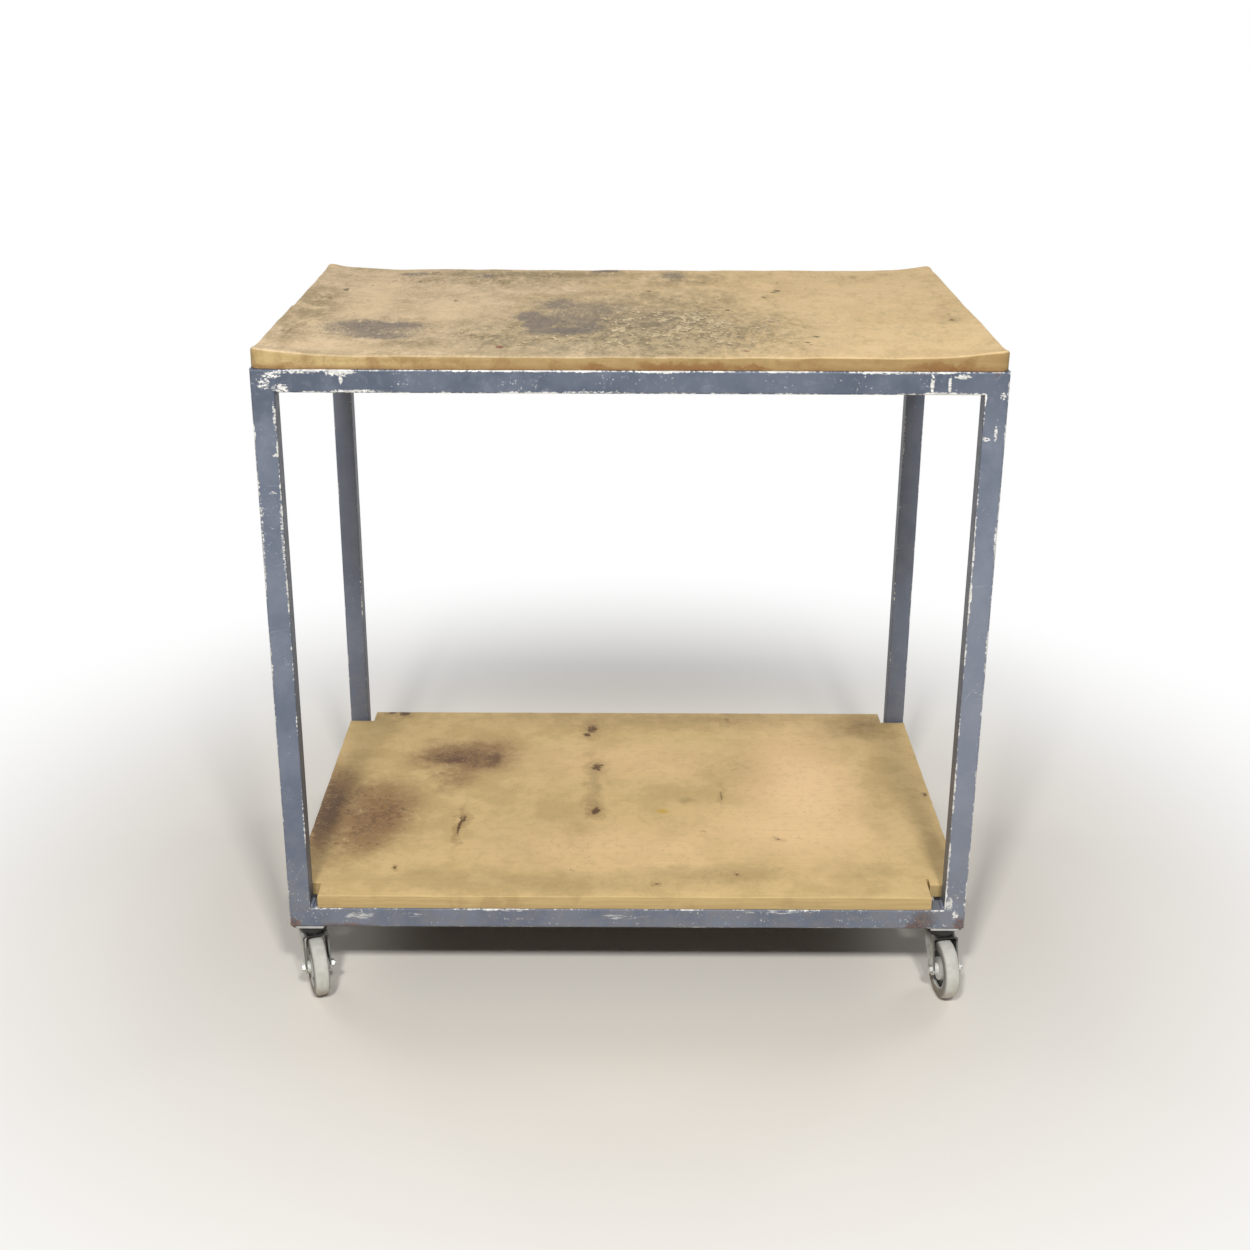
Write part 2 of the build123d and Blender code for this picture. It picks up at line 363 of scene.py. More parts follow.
def slab_surface(half_x, half_y, thick, corner, arris, foot, cell):
    """Cloth laid over a slab: a grid whose middle is the flat top, and whose margin goes out to the edge,
    round the arris and down the side. A margin point at steps (i, j) past the middle lies in the direction
    (i, j), at the profile's step max(i, j), so the corners come out round. One face closes the underside.
    Returns points, faces, and for each point its share of the way from the top to the foot of the side."""
    turn = np.linspace(0, math.pi / 2, 6)
    out = np.concatenate([
        np.linspace(0, corner - arris, 4)[1:-1],
        corner - arris + arris * np.sin(turn),
        np.full(4, corner),
        corner - foot + foot * np.cos(turn[::2]),
    ])
    drop = np.concatenate([
        np.zeros(2),
        arris - arris * np.cos(turn),
        np.linspace(arris, thick - foot, 6)[1:-1],
        thick - foot + foot * np.sin(turn[::2]),
    ])
    margin = len(out)
    out, drop = np.append(0, out), np.append(0, drop)
    flat_x, flat_y = half_x - corner, half_y - corner
    count_x = max(2, int(2 * flat_x / cell))
    count_y = max(2, int(2 * flat_y / cell))
    steps_x = np.clip(np.arange(-margin, count_x + margin + 1), 0, count_x)
    steps_y = np.clip(np.arange(-margin, count_y + margin + 1), 0, count_y)
    past_x = np.arange(-margin, count_x + margin + 1) - steps_x
    past_y = np.arange(-margin, count_y + margin + 1) - steps_y
    base_x, base_y = np.meshgrid(
        -flat_x + 2 * flat_x * steps_x / count_x, -flat_y + 2 * flat_y * steps_y / count_y, indexing="ij"
    )
    past_x, past_y = np.meshgrid(past_x, past_y, indexing="ij")
    level = np.maximum(np.abs(past_x), np.abs(past_y))
    length = np.maximum(np.hypot(past_x, past_y), 1e-9)
    x = base_x + out[level] * past_x / length
    y = base_y + out[level] * past_y / length
    points = np.stack([x, y, -drop[level]], axis=-1)
    rows, columns = x.shape
    index = np.arange(rows * columns).reshape(rows, columns)
    rim = np.concatenate([index[:, 0], index[-1, 1:], index[-2::-1, -1], index[0, -2:0:-1]])
    faces = grid_faces(rows, columns).tolist() + [rim[::-1].tolist()]
    return points, faces, drop[level] / thick


def placed(points, matrix):
    """Points moved by a 4x4 matrix."""
    m = np.array(matrix)
    return np.asarray(points).reshape(-1, 3) @ m[:3, :3].T + m[:3, 3]


class Net:
    """A node tree, with short words for the nodes that the finishes are made of."""

    def __init__(self, tree, tones=None):
        """Starts from a tree and the tones that its mixes may name."""
        self.tree = tree
        self.tones = tones

    def feed(self, socket, value):
        """Links a socket to another node's output, or sets its value; None leaves it as it is."""
        if isinstance(value, bpy.types.NodeSocket):
            self.tree.links.new(value, socket)
        elif value is not None:
            socket.default_value = value

    def add(self, kind, settings=None, **inputs):
        """A node of a kind with its settings and its inputs, given by name."""
        made = self.tree.nodes.new("ShaderNode" + kind)
        for name, value in (settings or {}).items():
            setattr(made, name, value)
        for name, value in inputs.items():
            self.feed(made.inputs[name.replace("_", " ")], value)
        return made

    def filled(self, kind, settings, values):
        """A node whose inputs, given by number, take the values."""
        made = self.add(kind, settings)
        for number, value in values.items():
            self.feed(made.inputs[number], value)
        return made.outputs

    def math(self, operation, *values):
        """Result of a math node."""
        return self.filled("Math", {"operation": operation}, dict(enumerate(values)))[0]

    def vector(self, operation, *values):
        """Result of a vector math node."""
        made = self.filled("VectorMath", {"operation": operation}, dict(enumerate(values)))
        return made["Value" if operation == "LENGTH" else "Vector"]

    def scaled(self, value, factor, base):
        """Value times factor plus base."""
        return self.math("MULTIPLY_ADD", value, factor, base)

    def largest(self, values):
        """Largest of a list of values."""
        result = values[0]
        for value in values[1:]:
            result = self.math("MAXIMUM", result, value)
        return result

    def times(self, *values):
        """Product of the values."""
        result = values[0]
        for value in values[1:]:
            result = self.math("MULTIPLY", result, value)
        return result

    def step(self, value, low, high, start=0.0, end=1.0):
        """Goes smoothly from start, where the value is low, to end, where it is high."""
        given = dict(enumerate((value, low, high, start, end)))
        return self.filled("MapRange", {"interpolation_type": "SMOOTHSTEP"}, given)[0]

    def torn(self, field, noise, depth, low, high):
        """Step of a smooth field multiplied by noise of the given depth, which tears its outline."""
        ripple = self.scaled(self.math("SUBTRACT", noise, 0.5), depth, 1.0)
        return self.step(self.times(field, ripple), low, high)

    def mix(self, share, first, second):
        """Mix of two colours, each from another node or a tone's name."""
        first, second = (
            paint_colour(*self.tones[given]) if isinstance(given, str) else given for given in (first, second)
        )
        return self.filled("Mix", {"data_type": "RGBA"}, {0: share, 6: first, 7: second})[2]

    def coat(self, under, over, *shares):
        """Colour under, covered with colour over by the product of the shares."""
        return self.mix(self.times(*shares), under, over)

    def blend(self, share, first, second):
        """Mix of two numbers."""
        return self.filled("Mix", {"data_type": "FLOAT"}, {0: share, 2: first, 3: second})[0]

    def noise(self, place, size, detail=3.0, roughness=0.55, part="Fac"):
        """Noise whose features are about size metres across."""
        made = self.add("TexNoise", None, Vector=place, Scale=1 / size, Detail=detail, Roughness=roughness)
        return made.outputs[part]

    def stretched(self, place, sizes):
        """Place divided by the feature sizes along X, Y and Z."""
        return self.vector("MULTIPLY", place, tuple(1 / size for size in sizes))

    def turned(self, place, angle, sizes):
        """Place turned about Y, then divided by the feature sizes."""
        made = self.add("VectorRotate", {"rotation_type": "Y_AXIS"}, Vector=place, Angle=angle)
        return self.stretched(made.outputs[0], sizes)

    def xyz(self, place):
        """The three parts of a place."""
        return self.filled("SeparateXYZ", None, {0: place})

    def object_place(self):
        """The shaded point in the piece's own frame."""
        return self.add("TexCoord").outputs["Object"]

    def attribute(self, name):
        """A mask stored on the mesh."""
        return self.add("Attribute", {"attribute_name": name}).outputs["Fac"]

    def seen(self):
        """1 for what the camera sees, directly, mirrored or through glass."""
        path = self.add("LightPath").outputs
        return self.largest([path[f"Is {kind} Ray"] for kind in ("Camera", "Glossy", "Transmission")])

    def use(self, effect, **inputs):
        """Mask of an effect with the given inputs."""
        return self.add("Group", {"node_tree": effect}, **inputs).outputs["Mask"]


def paint_colour(red, green, blue):
    """Linear colour of an 8-bit screen colour."""
    share = np.array([red, green, blue]) / 255
    linear = np.where(share <= 0.04045, share / 12.92, ((share + 0.055) / 1.055) ** 2.4)
    return (*linear.tolist(), 1.0)


no_place = (0.0, 0.0, 0.0)
usual_crowding = 2.4
# Half height, in millimetres, of a mark on a board
board_mark_height = 30


def effect(name, **inputs):
    """An empty shader node group that takes a place and the named inputs and gives a mask, as (net, input
    sockets, socket for the mask)."""
    kinds = {float: "NodeSocketFloat", tuple: "NodeSocketVector"}
    tree = bpy.data.node_groups.new(name, "ShaderNodeTree")
    for socket_name, value in {"Place": no_place, **inputs}.items():
        socket = tree.interface.new_socket(socket_name, in_out="INPUT", socket_type=kinds[type(value)])
        socket.default_value = value
    tree.interface.new_socket("Mask", in_out="OUTPUT", socket_type="NodeSocketFloat")
    entry = tree.nodes.new("NodeGroupInput")
    way_out = tree.nodes.new("NodeGroupOutput")
    return Net(tree), entry.outputs, way_out.inputs["Mask"]


def mark_effect():
    """Mask of a patch: 1 inside an ellipsoid of the given centre and half sizes, fading out over its rim."""
    net, given, mask = effect("mark", Centre=no_place, Size=(1.0, 1.0, 1.0), Fade=0.5)
    offset = net.vector("DIVIDE", net.vector("SUBTRACT", given["Place"], given["Centre"]), given["Size"])
    reach = net.vector("LENGTH", offset)
    near = net.math("SUBTRACT", 1.0, given["Fade"])
    far = net.math("ADD", 1.0, given["Fade"])
    net.feed(mask, net.step(reach, near, far, 1.0, 0.0))
    return net.tree


def chips_effect():
    """Mask of knocked-off paint: noise that passes a limit rising with the distance from the edge, with
    stretches of heavier and lighter wear along the edge."""
    net, given, mask = effect("chips", Edge=0.01, Reach=0.002, Wear=0.6)
    stretch = net.noise(given["Place"], 60 * mm, 2.0)
    shape = net.noise(given["Place"], 5.5 * mm, 5.0, 0.75)
    worn = net.scaled(net.math("SUBTRACT", stretch, 0.5), 0.8, shape)
    away = net.math("POWER", net.math("DIVIDE", given["Edge"], given["Reach"]), 0.75)
    limit = net.scaled(away, 0.2, net.math("SUBTRACT", 1.0, given["Wear"]))
    net.feed(mask, net.step(net.math("SUBTRACT", worn, limit), -0.006, 0.014))
    return net.tree


def flakes_effect():
    """Mask of small ragged flakes: where a fine noise passes a limit, more of them where a coarse noise is
    high."""
    net, given, mask = effect("flakes", Size=0.005, Share=0.3, Crowding=usual_crowding)
    shape = net.add("TexNoise", None, Vector=given["Place"], Detail=4.0, Roughness=0.65)
    net.feed(shape.inputs["Scale"], net.math("DIVIDE", 1.0, given["Size"]))
    crowd = net.noise(given["Place"], 50 * mm, 2.0)
    crowded = net.scaled(net.math("SUBTRACT", crowd, 0.5), given["Crowding"], 0.7)
    limit = net.math("SUBTRACT", 0.78, net.math("MULTIPLY", given["Share"], crowded))
    excess = net.math("SUBTRACT", shape.outputs["Fac"], limit)
    net.feed(mask, net.step(excess, 0.0, 0.03))
    return net.tree


def scratch_effect():
    """Mask of thin scratches: the lines where a long, narrow noise crosses its middle value, broken up by
    a coarser noise."""
    net, given, mask = effect("scratches", Share=0.5)
    field = net.add("TexNoise", None, Vector=given["Place"], Scale=1.0, Detail=0.0)
    line = net.math("ABSOLUTE", net.math("SUBTRACT", field.outputs["Fac"], 0.5))
    broken = net.add("TexNoise", None, Vector=given["Place"], Scale=1.7, Detail=2.0)
    limit = net.math("SUBTRACT", 0.75, net.times(given["Share"], 0.3))
    where = net.step(net.math("SUBTRACT", broken.outputs["Fac"], limit), 0.0, 0.06)
    net.feed(mask, net.times(net.step(line, 0.006, 0.026, 1.0, 0.0), where))
    return net.tree


mark = mark_effect()
chips = chips_effect()
flakes = flakes_effect()
scratches = scratch_effect()


def finish_material(name, roughness=0.5, metallic=0.0, tones=None):
    """A material with one Principled shader and a table of tones, as (material, net, shader)."""
    material = bpy.data.materials.new(name)
    material.use_nodes = True
    shader = material.node_tree.nodes["Principled BSDF"]
    shader.inputs["Roughness"].default_value = roughness
    shader.inputs["Metallic"].default_value = metallic
    return material, Net(material.node_tree, tones), shader


def raise_surface(net, shader, height, depth, strength=1.0):
    """Feeds a height, from 0 to 1, to the shader's normal, as a relief of the given depth in metres."""
    bump = net.add("Bump", None, Strength=strength, Distance=depth, Height=height)
    net.feed(shader.inputs["Normal"], bump.outputs["Normal"])


def ragged_place(net, place, coarse=14 * mm, fine=3.5 * mm):
    """Place shifted by two sizes of noise, so that patches get torn outlines."""
    moved = place
    for size, shift in ((30 * mm, coarse), (6 * mm, fine)):
        noise = net.noise(place, size=size, detail=3.0, part="Color")
        offset = net.vector("SCALE", net.vector("SUBTRACT", noise, (0.5, 0.5, 0.5)))
        offset.node.inputs["Scale"].default_value = 2 * shift
        moved = net.vector("ADD", moved, offset)
    return moved


def patches(net, place, marks, fade=0.5):
    """Largest of several marks, each (x, y, z, half sizes along x, y and z, strength) in millimetres."""
    found = []
    for x, y, z, size_x, size_y, size_z, strength in marks.values():
        centre = (x * mm, y * mm, z * mm)
        size = (size_x * mm, size_y * mm, size_z * mm)
        found.append(net.times(net.use(mark, Place=place, Fade=fade, Centre=centre, Size=size), strength))
    return net.largest(found)


def torn_marks(net, place, marks, noise, fade, depth, low, high):
    """Patches of several marks with an outline torn by noise."""
    return net.torn(patches(net, place, marks, fade), noise, depth, low, high)


def flecked(net, place, size, share, crowding=usual_crowding):
    """Mask of flakes of a size, more of them where the share is high."""
    return net.use(flakes, Place=place, Size=size, Share=share, Crowding=crowding)


def on_board(height, marks):
    """Marks (x, y, half sizes, strength) on a level board as marks in space."""
    return {
        name: (x, y, height / mm, size_x, size_y, board_mark_height, strength)
        for name, (x, y, size_x, size_y, strength) in marks.items()
    }


def spread_out(marks, factor):
    """Marks with their half sizes along X and Y multiplied."""
    return {
        name: (x, y, z, size_x * factor, size_y * factor, size_z, strength)
        for name, (x, y, z, size_x, size_y, size_z, strength) in marks.items()
    }


# Front face, top and underside of the frame in millimetres, as the marks give their places
front = -half_depth / mm
head = frame_top / mm
foot = frame_bottom / mm

# Marks on the painted tubes: patches scraped through to the white undercoat, scuffs, rust, fading, painted
# light on the rear legs, and burns
white_marks = {
    "run on the top rail": (-363, front, head - 4, 19, 3, 4.5, 1.3),
    "tail of the run": (-361, front, head - 12, 2.5, 3, 7, 1.3),
    "scrape under the run": (-343, front, head - 28, 42, 6, 3.5, 1.0),
    "chips on the left joint": (-448, front, head - 7, 14, 3, 5, 1.0),
    "chips at the left corner": (-436, front, head - 24, 13, 4, 7, 1.0),
    "dots at the left corner": (-458, front, head - 18, 10, 3, 10, 0.85),
    "left end, upper edge": (-420, front, head - 3, 40, 3, 3, 0.9),
    "left upright streak": (378, front, head - 15, 2.6, 3, 13, 1.3),
    "right upright streak": (400, front, head - 16, 2.4, 3, 12, 1.2),
    "blob on the top rail": (415, front, head - 6, 11, 3, 3.6, 1.2),
    "chips between the streaks": (388, front, head - 28, 26, 5, 3, 0.9),
    "scrape on the top rail": (-50, front, head - 28, 60, 4, 2.5, 0.8),
    "right end of the top rail": (330, front, head - 2, 90, 4, 2.2, 0.8),
    "streak on the right leg": (462, front, head - 78, 2.5, 3, 13, 1.0),
    "chips on the right leg": (449, front, head - 87, 9, 3, 4, 0.9),
    "nick on the right leg": (468, front, head - 31, 5, 3, 6, 0.9),
    "nick on the left leg": (-449, front, head - 111, 5, 3, 3, 1.0),
    "dots on the left leg": (-456, front, head - 161, 7, 3, 3, 0.8),
    "inner edge of the left leg": (-447, front, head - 220, 3, 3, 60, 0.8),
    "inner edge of the left leg, upper": (-447, front, head - 60, 3, 3, 26, 0.8),
    "outer edge of the left leg": (-473, front, head - 210, 3, 3, 70, 0.75),
    "outer edge of the right leg": (473, front, head - 220, 3, 3, 30, 0.85),
    "chips at the lower right joint": (452, front, foot + 40, 6, 4, 12, 1.0),
    "chips on the lower right mitre": (461, front, foot + 23, 5, 4, 9, 1.0),
}
scuff_marks = {
    "scrape on the bottom rail": (-376, front, foot + 19, 22, 4, 7, 1.0),
    "bottom rail, left": (-303, front, foot + 20, 20, 4, 6, 0.75),
    "bottom rail, upper edge": (-170, front, foot + 28, 60, 6, 3, 0.8),
    "bottom rail, middle": (-18, front, foot + 18, 22, 4, 6, 0.8),
    "bottom rail, right": (210, front, foot + 26, 70, 5, 4, 0.75),
    "top rail, middle": (-157, front, head - 17, 14, 4, 4, 0.6),
}
rust_marks = {
    "left lower corner": (-471, front, foot + 5, 11, 12, 9, 1.0),
    "right lower corner": (469, front, foot + 8, 10, 12, 11, 1.0),
    "left underside": (-392, front, foot, 40, 14, 6, 1.0),
    "beside the right plate": (403, front, foot + 3, 13, 14, 9, 1.0),
    "right upper edge": (458, front, head - 3, 6, 4, 4, 0.6),
    "rear left corner": (-471, -front, foot + 4, 11, 12, 9, 1.0),
    "rear right corner": (468, -front, foot + 3, 14, 12, 7, 1.0),
}
# Fading on the right leg; on the rear legs, painted light that brightens the paint where the worktop shades
# it
fade_and_painted_light_marks = {
    "right leg": (460, front, foot + 260, 40, 60, 280, 0.4),
    "rear left leg": (-460, -front, foot + 400, 60, 60, 460, 0.2),
    "rear right leg": (460, -front, foot + 400, 60, 60, 460, 0.1),
}
burn_marks = {
    "front right weld": (416, front, foot + 14, 19, 6, 16, 1.0),
    "front left weld": (-417, front, foot + 2, 14, 10, 6, 0.7),
    "rear right weld": (420, -front, foot + 8, 16, 8, 9, 0.9),
    "rear left weld": (-418, -front, foot + 8, 16, 8, 9, 0.9),
}

# Hairline scratches: feature sizes along X, Y and Z, how they lean, and how many
hairline_sizes = (110 * mm, 60 * mm, 7 * mm)
hairline_angles = (0.15, 1.1)
hairline_share = 0.34

# Screen colours of the painted tubes, red, green and blue out of 255
paint_tones = {
    "below the rail, dark": (98, 106, 122),
    "below the rail, pale": (113, 120, 134),
    "top rail, dark": (82, 90, 105),
    "top rail, pale": (96, 103, 117),
    "fade_and_painted_light": (142, 147, 160),
    "inner face, painted shade": (40, 43, 50),
    "cloud": (134, 139, 151),
    "dust": (120, 118, 119),
    "hairline": (190, 192, 196),
    "undercoat, grey": (202, 200, 195),
    "undercoat, white": (236, 235, 231),
    "scuff": (204, 203, 199),
    "burn, dark": (70, 60, 56),
    "burn, brown": (112, 94, 84),
    "rust, dark": (78, 63, 58),
    "rust, red": (124, 92, 78),
}


def chipped_paint(name, span, wear, reach, inner=0.0):
    """Blue-grey paint on a tube along the span axis, a little paler below the top rail, with painted shade on
    the faces turned inwards along X, as deep as the inner share. The distance to the tube's nearest long edge
    is the larger of the two distances to its side planes, measured from the tubes' common centre lines."""
    material, net, shader = finish_material(name, tones=paint_tones)
    shader.inputs["Specular IOR Level"].default_value = 0.3
    place = net.object_place()
    centred = net.vector("SUBTRACT", place, (0.0, 0.0, frame_middle))
    half_tube = tube_side / 2
    lines = (half_width - half_tube, half_depth - half_tube, (frame_top - frame_bottom) / 2 - half_tube)
    section = net.vector("SUBTRACT", net.vector("ABSOLUTE", centred), lines)
    inward = net.vector("SUBTRACT", (half_tube,) * 3, net.vector("ABSOLUTE", section))
    sides = net.xyz(net.vector("SUBTRACT", inward, span))
    edge = net.math("MAXIMUM", net.largest(list(sides)), 0.0)

    cloud = net.noise(place, size=16 * mm, detail=5.0, roughness=0.65)
    shape = net.noise(place, size=6 * mm, detail=5.0, roughness=0.75)
    broad = net.step(net.noise(place, size=80 * mm, detail=4.0), 0.38, 0.62)
    _, y, z = net.xyz(place)
    high_up = net.step(z, frame_top - 110 * mm, frame_top - 25 * mm)
    lit = net.mix(broad, "below the rail, dark", "below the rail, pale")
    colour = net.mix(high_up, lit, net.mix(broad, "top rail, dark", "top rail, pale"))
    # Fading, and painted light on the rear legs
    fade_and_painted_light = patches(net, place, fade_and_painted_light_marks, fade=0.6)
    colour = net.coat(colour, "fade_and_painted_light", fade_and_painted_light)
    # Painted shade: the faces turned inwards along X darken towards near black, as deep as the inner share
    if inner:
        inside = net.step(net.xyz(section)[0], 0.8 * mm - half_tube, 0.2 * mm - half_tube, 0.0, inner)
        colour = net.coat(colour, "inner face, painted shade", inside)
    colour = net.coat(colour, "cloud", net.step(cloud, 0.48, 0.7, 0.0, 0.22))
    low_down = net.step(z, frame_bottom, frame_bottom + 0.25, 0.5, 0.0)
    colour = net.coat(colour, "dust", low_down, net.step(cloud, 0.35, 0.6))
    hairlines = net.largest([
        net.use(scratches, Place=net.turned(place, angle, hairline_sizes), Share=hairline_share)
        for angle in hairline_angles
    ])
    colour = net.coat(colour, "hairline", hairlines, 0.22)

    # More chips along the top edge of the top rail: partly wear, partly a painted highlight where the rounded
    # edge catches the light
    upper = net.step(z, frame_top - 5 * mm, frame_top - 1 * mm, 0.0, 0.1)
    lower = net.step(z, frame_top - 27 * mm, frame_top - 22 * mm, 0.08, 0.0)
    lower = net.times(lower, net.step(z, frame_top - 34 * mm, frame_top - 31 * mm))
    rear = net.step(y, 0.0, 0.2, wear, wear - 0.06)
    wear = net.math("ADD", net.math("ADD", upper, lower), rear)
    worn = net.use(chips, Place=place, Edge=edge, Reach=reach, Wear=wear)
    speckle = net.step(z, frame_bottom + 30 * mm, frame_bottom + 120 * mm, 0.19, 0.13)
    speckle = net.math("ADD", speckle, net.step(z, frame_top - 45 * mm, frame_top - 32 * mm, 0.0, 0.025))
    nicks = flecked(net, place, size=3.5 * mm, share=speckle)
    crumbs = net.noise(net.stretched(place, (5 * mm, 5 * mm, 3 * mm)), size=1.0, detail=5.0, roughness=0.75)
    bare = torn_marks(net, place, white_marks, crumbs, fade=0.8, depth=5.5, low=0.72, high=0.88)
    bare = net.largest([worn, bare, net.times(nicks, 0.65)])
    undercoat = net.mix(net.step(cloud, 0.35, 0.65), "undercoat, grey", "undercoat, white")
    colour = net.coat(colour, undercoat, bare)
    stroke_place = net.stretched(place, (11 * mm, 8 * mm, 2.4 * mm))
    strokes = net.noise(stroke_place, size=1.0, detail=4.0, roughness=0.7)
    scuffed = torn_marks(net, place, scuff_marks, strokes, fade=0.8, depth=5.0, low=0.72, high=0.95)
    colour = net.coat(colour, "scuff", scuffed, 0.66)

    burnt = torn_marks(net, place, burn_marks, shape, fade=0.8, depth=3.0, low=0.15, high=1.1)
    burnt_tone = net.mix(net.step(shape, 0.4, 0.6), "burn, dark", "burn, brown")
    colour = net.coat(colour, burnt_tone, burnt, 0.7)
    rust = torn_marks(net, place, rust_marks, shape, fade=0.8, depth=3.0, low=0.2, high=1.0)
    rust_colour = net.mix(net.step(shape, 0.4, 0.62), "rust, dark", "rust, red")
    colour = net.coat(colour, rust_colour, rust, 0.8)

    net.feed(shader.inputs["Base Color"], colour)
    dull = net.scaled(net.math("MAXIMUM", bare, rust), 0.25, net.step(cloud, 0.3, 0.7, 0.4, 0.54))
    net.feed(shader.inputs["Roughness"], dull)
    relief = net.math("SUBTRACT", net.times(cloud, 0.3), net.times(bare, 0.5))
    relief = net.math("ADD", relief, net.times(rust, shape))
    raise_surface(net, shader, relief, depth=0.35 * mm, strength=0.6)
    return material


def plain_finish(name, dark, pale, size, roughness, metallic=0.0):
    """Two tones of one colour mixed by noise."""
    material, net, shader = finish_material(name, roughness, metallic, {"dark": dark, "pale": pale})
    place = net.object_place()
    tone = net.noise(place, size=size, detail=4.0, roughness=0.6)
    net.feed(shader.inputs["Base Color"], net.mix(net.step(tone, 0.3, 0.7), "dark", "pale"))
    raise_surface(net, shader, net.noise(place, size=1.5 * mm, detail=3.0), depth=0.05 * mm, strength=0.5)
    return material


def dressed_node(name, material):
    """Gives a node that is shown as it is its finish."""
    slots = nodes[name].data.materials
    slots.clear()
    slots.append(material)


# Worktop stains: x and y from the middle, half sizes and strength
worktop_stains = on_board(worktop_high.z, {
    "left patch": (-344, -146, 64, 52, 0.72),
    "left patch, upper": (-336, -124, 64, 26, 1.0),
    "left patch, lower": (-326, -186, 40, 24, 0.75),
    "middle patch, left arm": (-140, -60, 17, 36, 0.9),
    "middle patch, elbow": (-122, -106, 20, 46, 1.0),
    "middle patch, foot": (-88, -156, 46, 24, 1.1),
    "middle patch, right arm": (-50, -132, 20, 32, 0.8),
    "middle patch, middle": (-78, -80, 64, 78, 0.54),
    "middle patch, head": (-98, 22, 36, 48, 0.64),
    "middle patch, crown": (-58, -8, 72, 62, 0.5),
    "middle patch, right wing": (20, -70, 95, 80, 0.36),
    "back band, dark end": (-222, 248, 16, 20, 0.8),
    "back band, left": (-330, 262, 30, 14, 0.6),
    "back edge blot": (-36, 290, 24, 12, 1.1),
    "back edge blot, right": (66, 255, 18, 38, 0.65),
})
worktop_hazes = on_board(worktop_high.z, {
    "middle": (0, -140, 190, 150, 1.0),
    "middle, rear": (20, 40, 150, 110, 0.7),
    "right of the middle": (175, -110, 50, 80, 0.6),
    "left edge": (-450, -40, 44, 170, 0.85),
    "left edge, front": (-452, -210, 34, 90, 0.7),
    "left front": (-296, -236, 50, 30, 0.75),
    "behind the left patch": (-330, -90, 90, 40, 0.6),
    "back band": (-150, 262, 150, 26, 1.3),
    "back band, left end": (-275, 268, 60, 26, 1.2),
    "rear": (-190, 215, 160, 70, 0.8),
    "rear, right": (70, 230, 90, 70, 0.8),
    "left of the middle": (-172, -165, 66, 95, 0.85),
    "front of the middle": (-10, -262, 150, 44, 0.75),
    "olive strip": (140, 70, 36, 110, 0.55),
    "right rear": (330, 250, 90, 40, 0.45),
    "right end": (440, -70, 26, 60, 0.45),
})
worktop_spots = on_board(worktop_high.z, {
    "left rear": (-417, 118, 4, 12, 1.1),
    "rear": (112, 202, 7, 10, 0.55),
    "knot": (218, 135, 5, 10, 0.95),
    "knot, right": (212, 122, 4, 6, 0.9),
    "above the knot": (224, 200, 6, 9, 0.55),
    "beside the knot": (196, 84, 9, 11, 0.5),
    "behind the middle": (29, 128, 4, 6, 0.8),
    "right of the middle": (137, -12, 4, 7, 0.8),
    "right front": (246, -184, 3.5, 5, 1.1),
    "right front, lower": (229, -220, 4, 5, 1.0),
    "right": (440, -54, 5, 7, 0.6),
    "right, lower": (438, -90, 6, 8, 0.55),
    "middle left": (-224, 78, 9, 12, 0.55),
    "middle left, lower": (-248, 53, 6, 9, 0.55),
    "left, rear": (-384, 160, 4, 8, 0.55),
    "rear left": (-317, 196, 4, 7, 0.8),
    "front left": (-207, -186, 9, 7, 0.6),
})
worktop_bright = on_board(worktop_high.z, {
    "rear right": (200, 172, 15, 30, 1.5),
    "left band": (-366, 70, 36, 220, 1.1),
    "left": (-250, -20, 80, 110, 0.8),
    "left front": (-390, -258, 70, 34, 1.1),
    "right front": (330, -250, 120, 40, 0.7),
    "right": (340, 60, 110, 160, 0.5),
    "front crumbs": (78, -235, 34, 28, 0.9),
    "front crumbs, left": (-78, -222, 22, 30, 0.9),
})
worktop_greys = on_board(worktop_high.z, {
    "front": (-50, -232, 140, 80, 0.34),
})
worktop_gouges = on_board(worktop_high.z, {
    "middle": (32, -145, 190, 175, 1.0),
    "left": (-160, -180, 90, 110, 0.75),
    "left patch": (-335, -152, 50, 36, 0.6),
    "left front": (-268, -215, 50, 50, 0.5),
    "rear": (50, 60, 120, 90, 0.45),
})
worktop_reds = on_board(worktop_high.z, {
    "left": (-166, -257, 4, 6, 1.0),
    "right": (147, -268, 6, 6, 0.5),
})
edge_stains = {
    "middle": (70, front, head + 3, 64, 12, 8, 1.0),
    "middle, left": (-30, front, head + 2, 40, 12, 5, 0.7),
    "right of the middle": (150, front, head + 1, 30, 12, 4, 0.8),
    "right end": (390, front, head + 4, 50, 12, 9, 0.8),
    "left end": (-320, front, head + 11, 16, 12, 13, 0.5),
    "left foot": (-440, front, head + 2, 40, 12, 5, 0.6),
    "right face": (475, -180, head + 8, 12, 70, 10, 0.8),
    "rear": (-120, -front, head + 6, 90, 12, 9, 0.9),
    "left face": (-475, 60, head + 5, 12, 90, 8, 0.7),
}

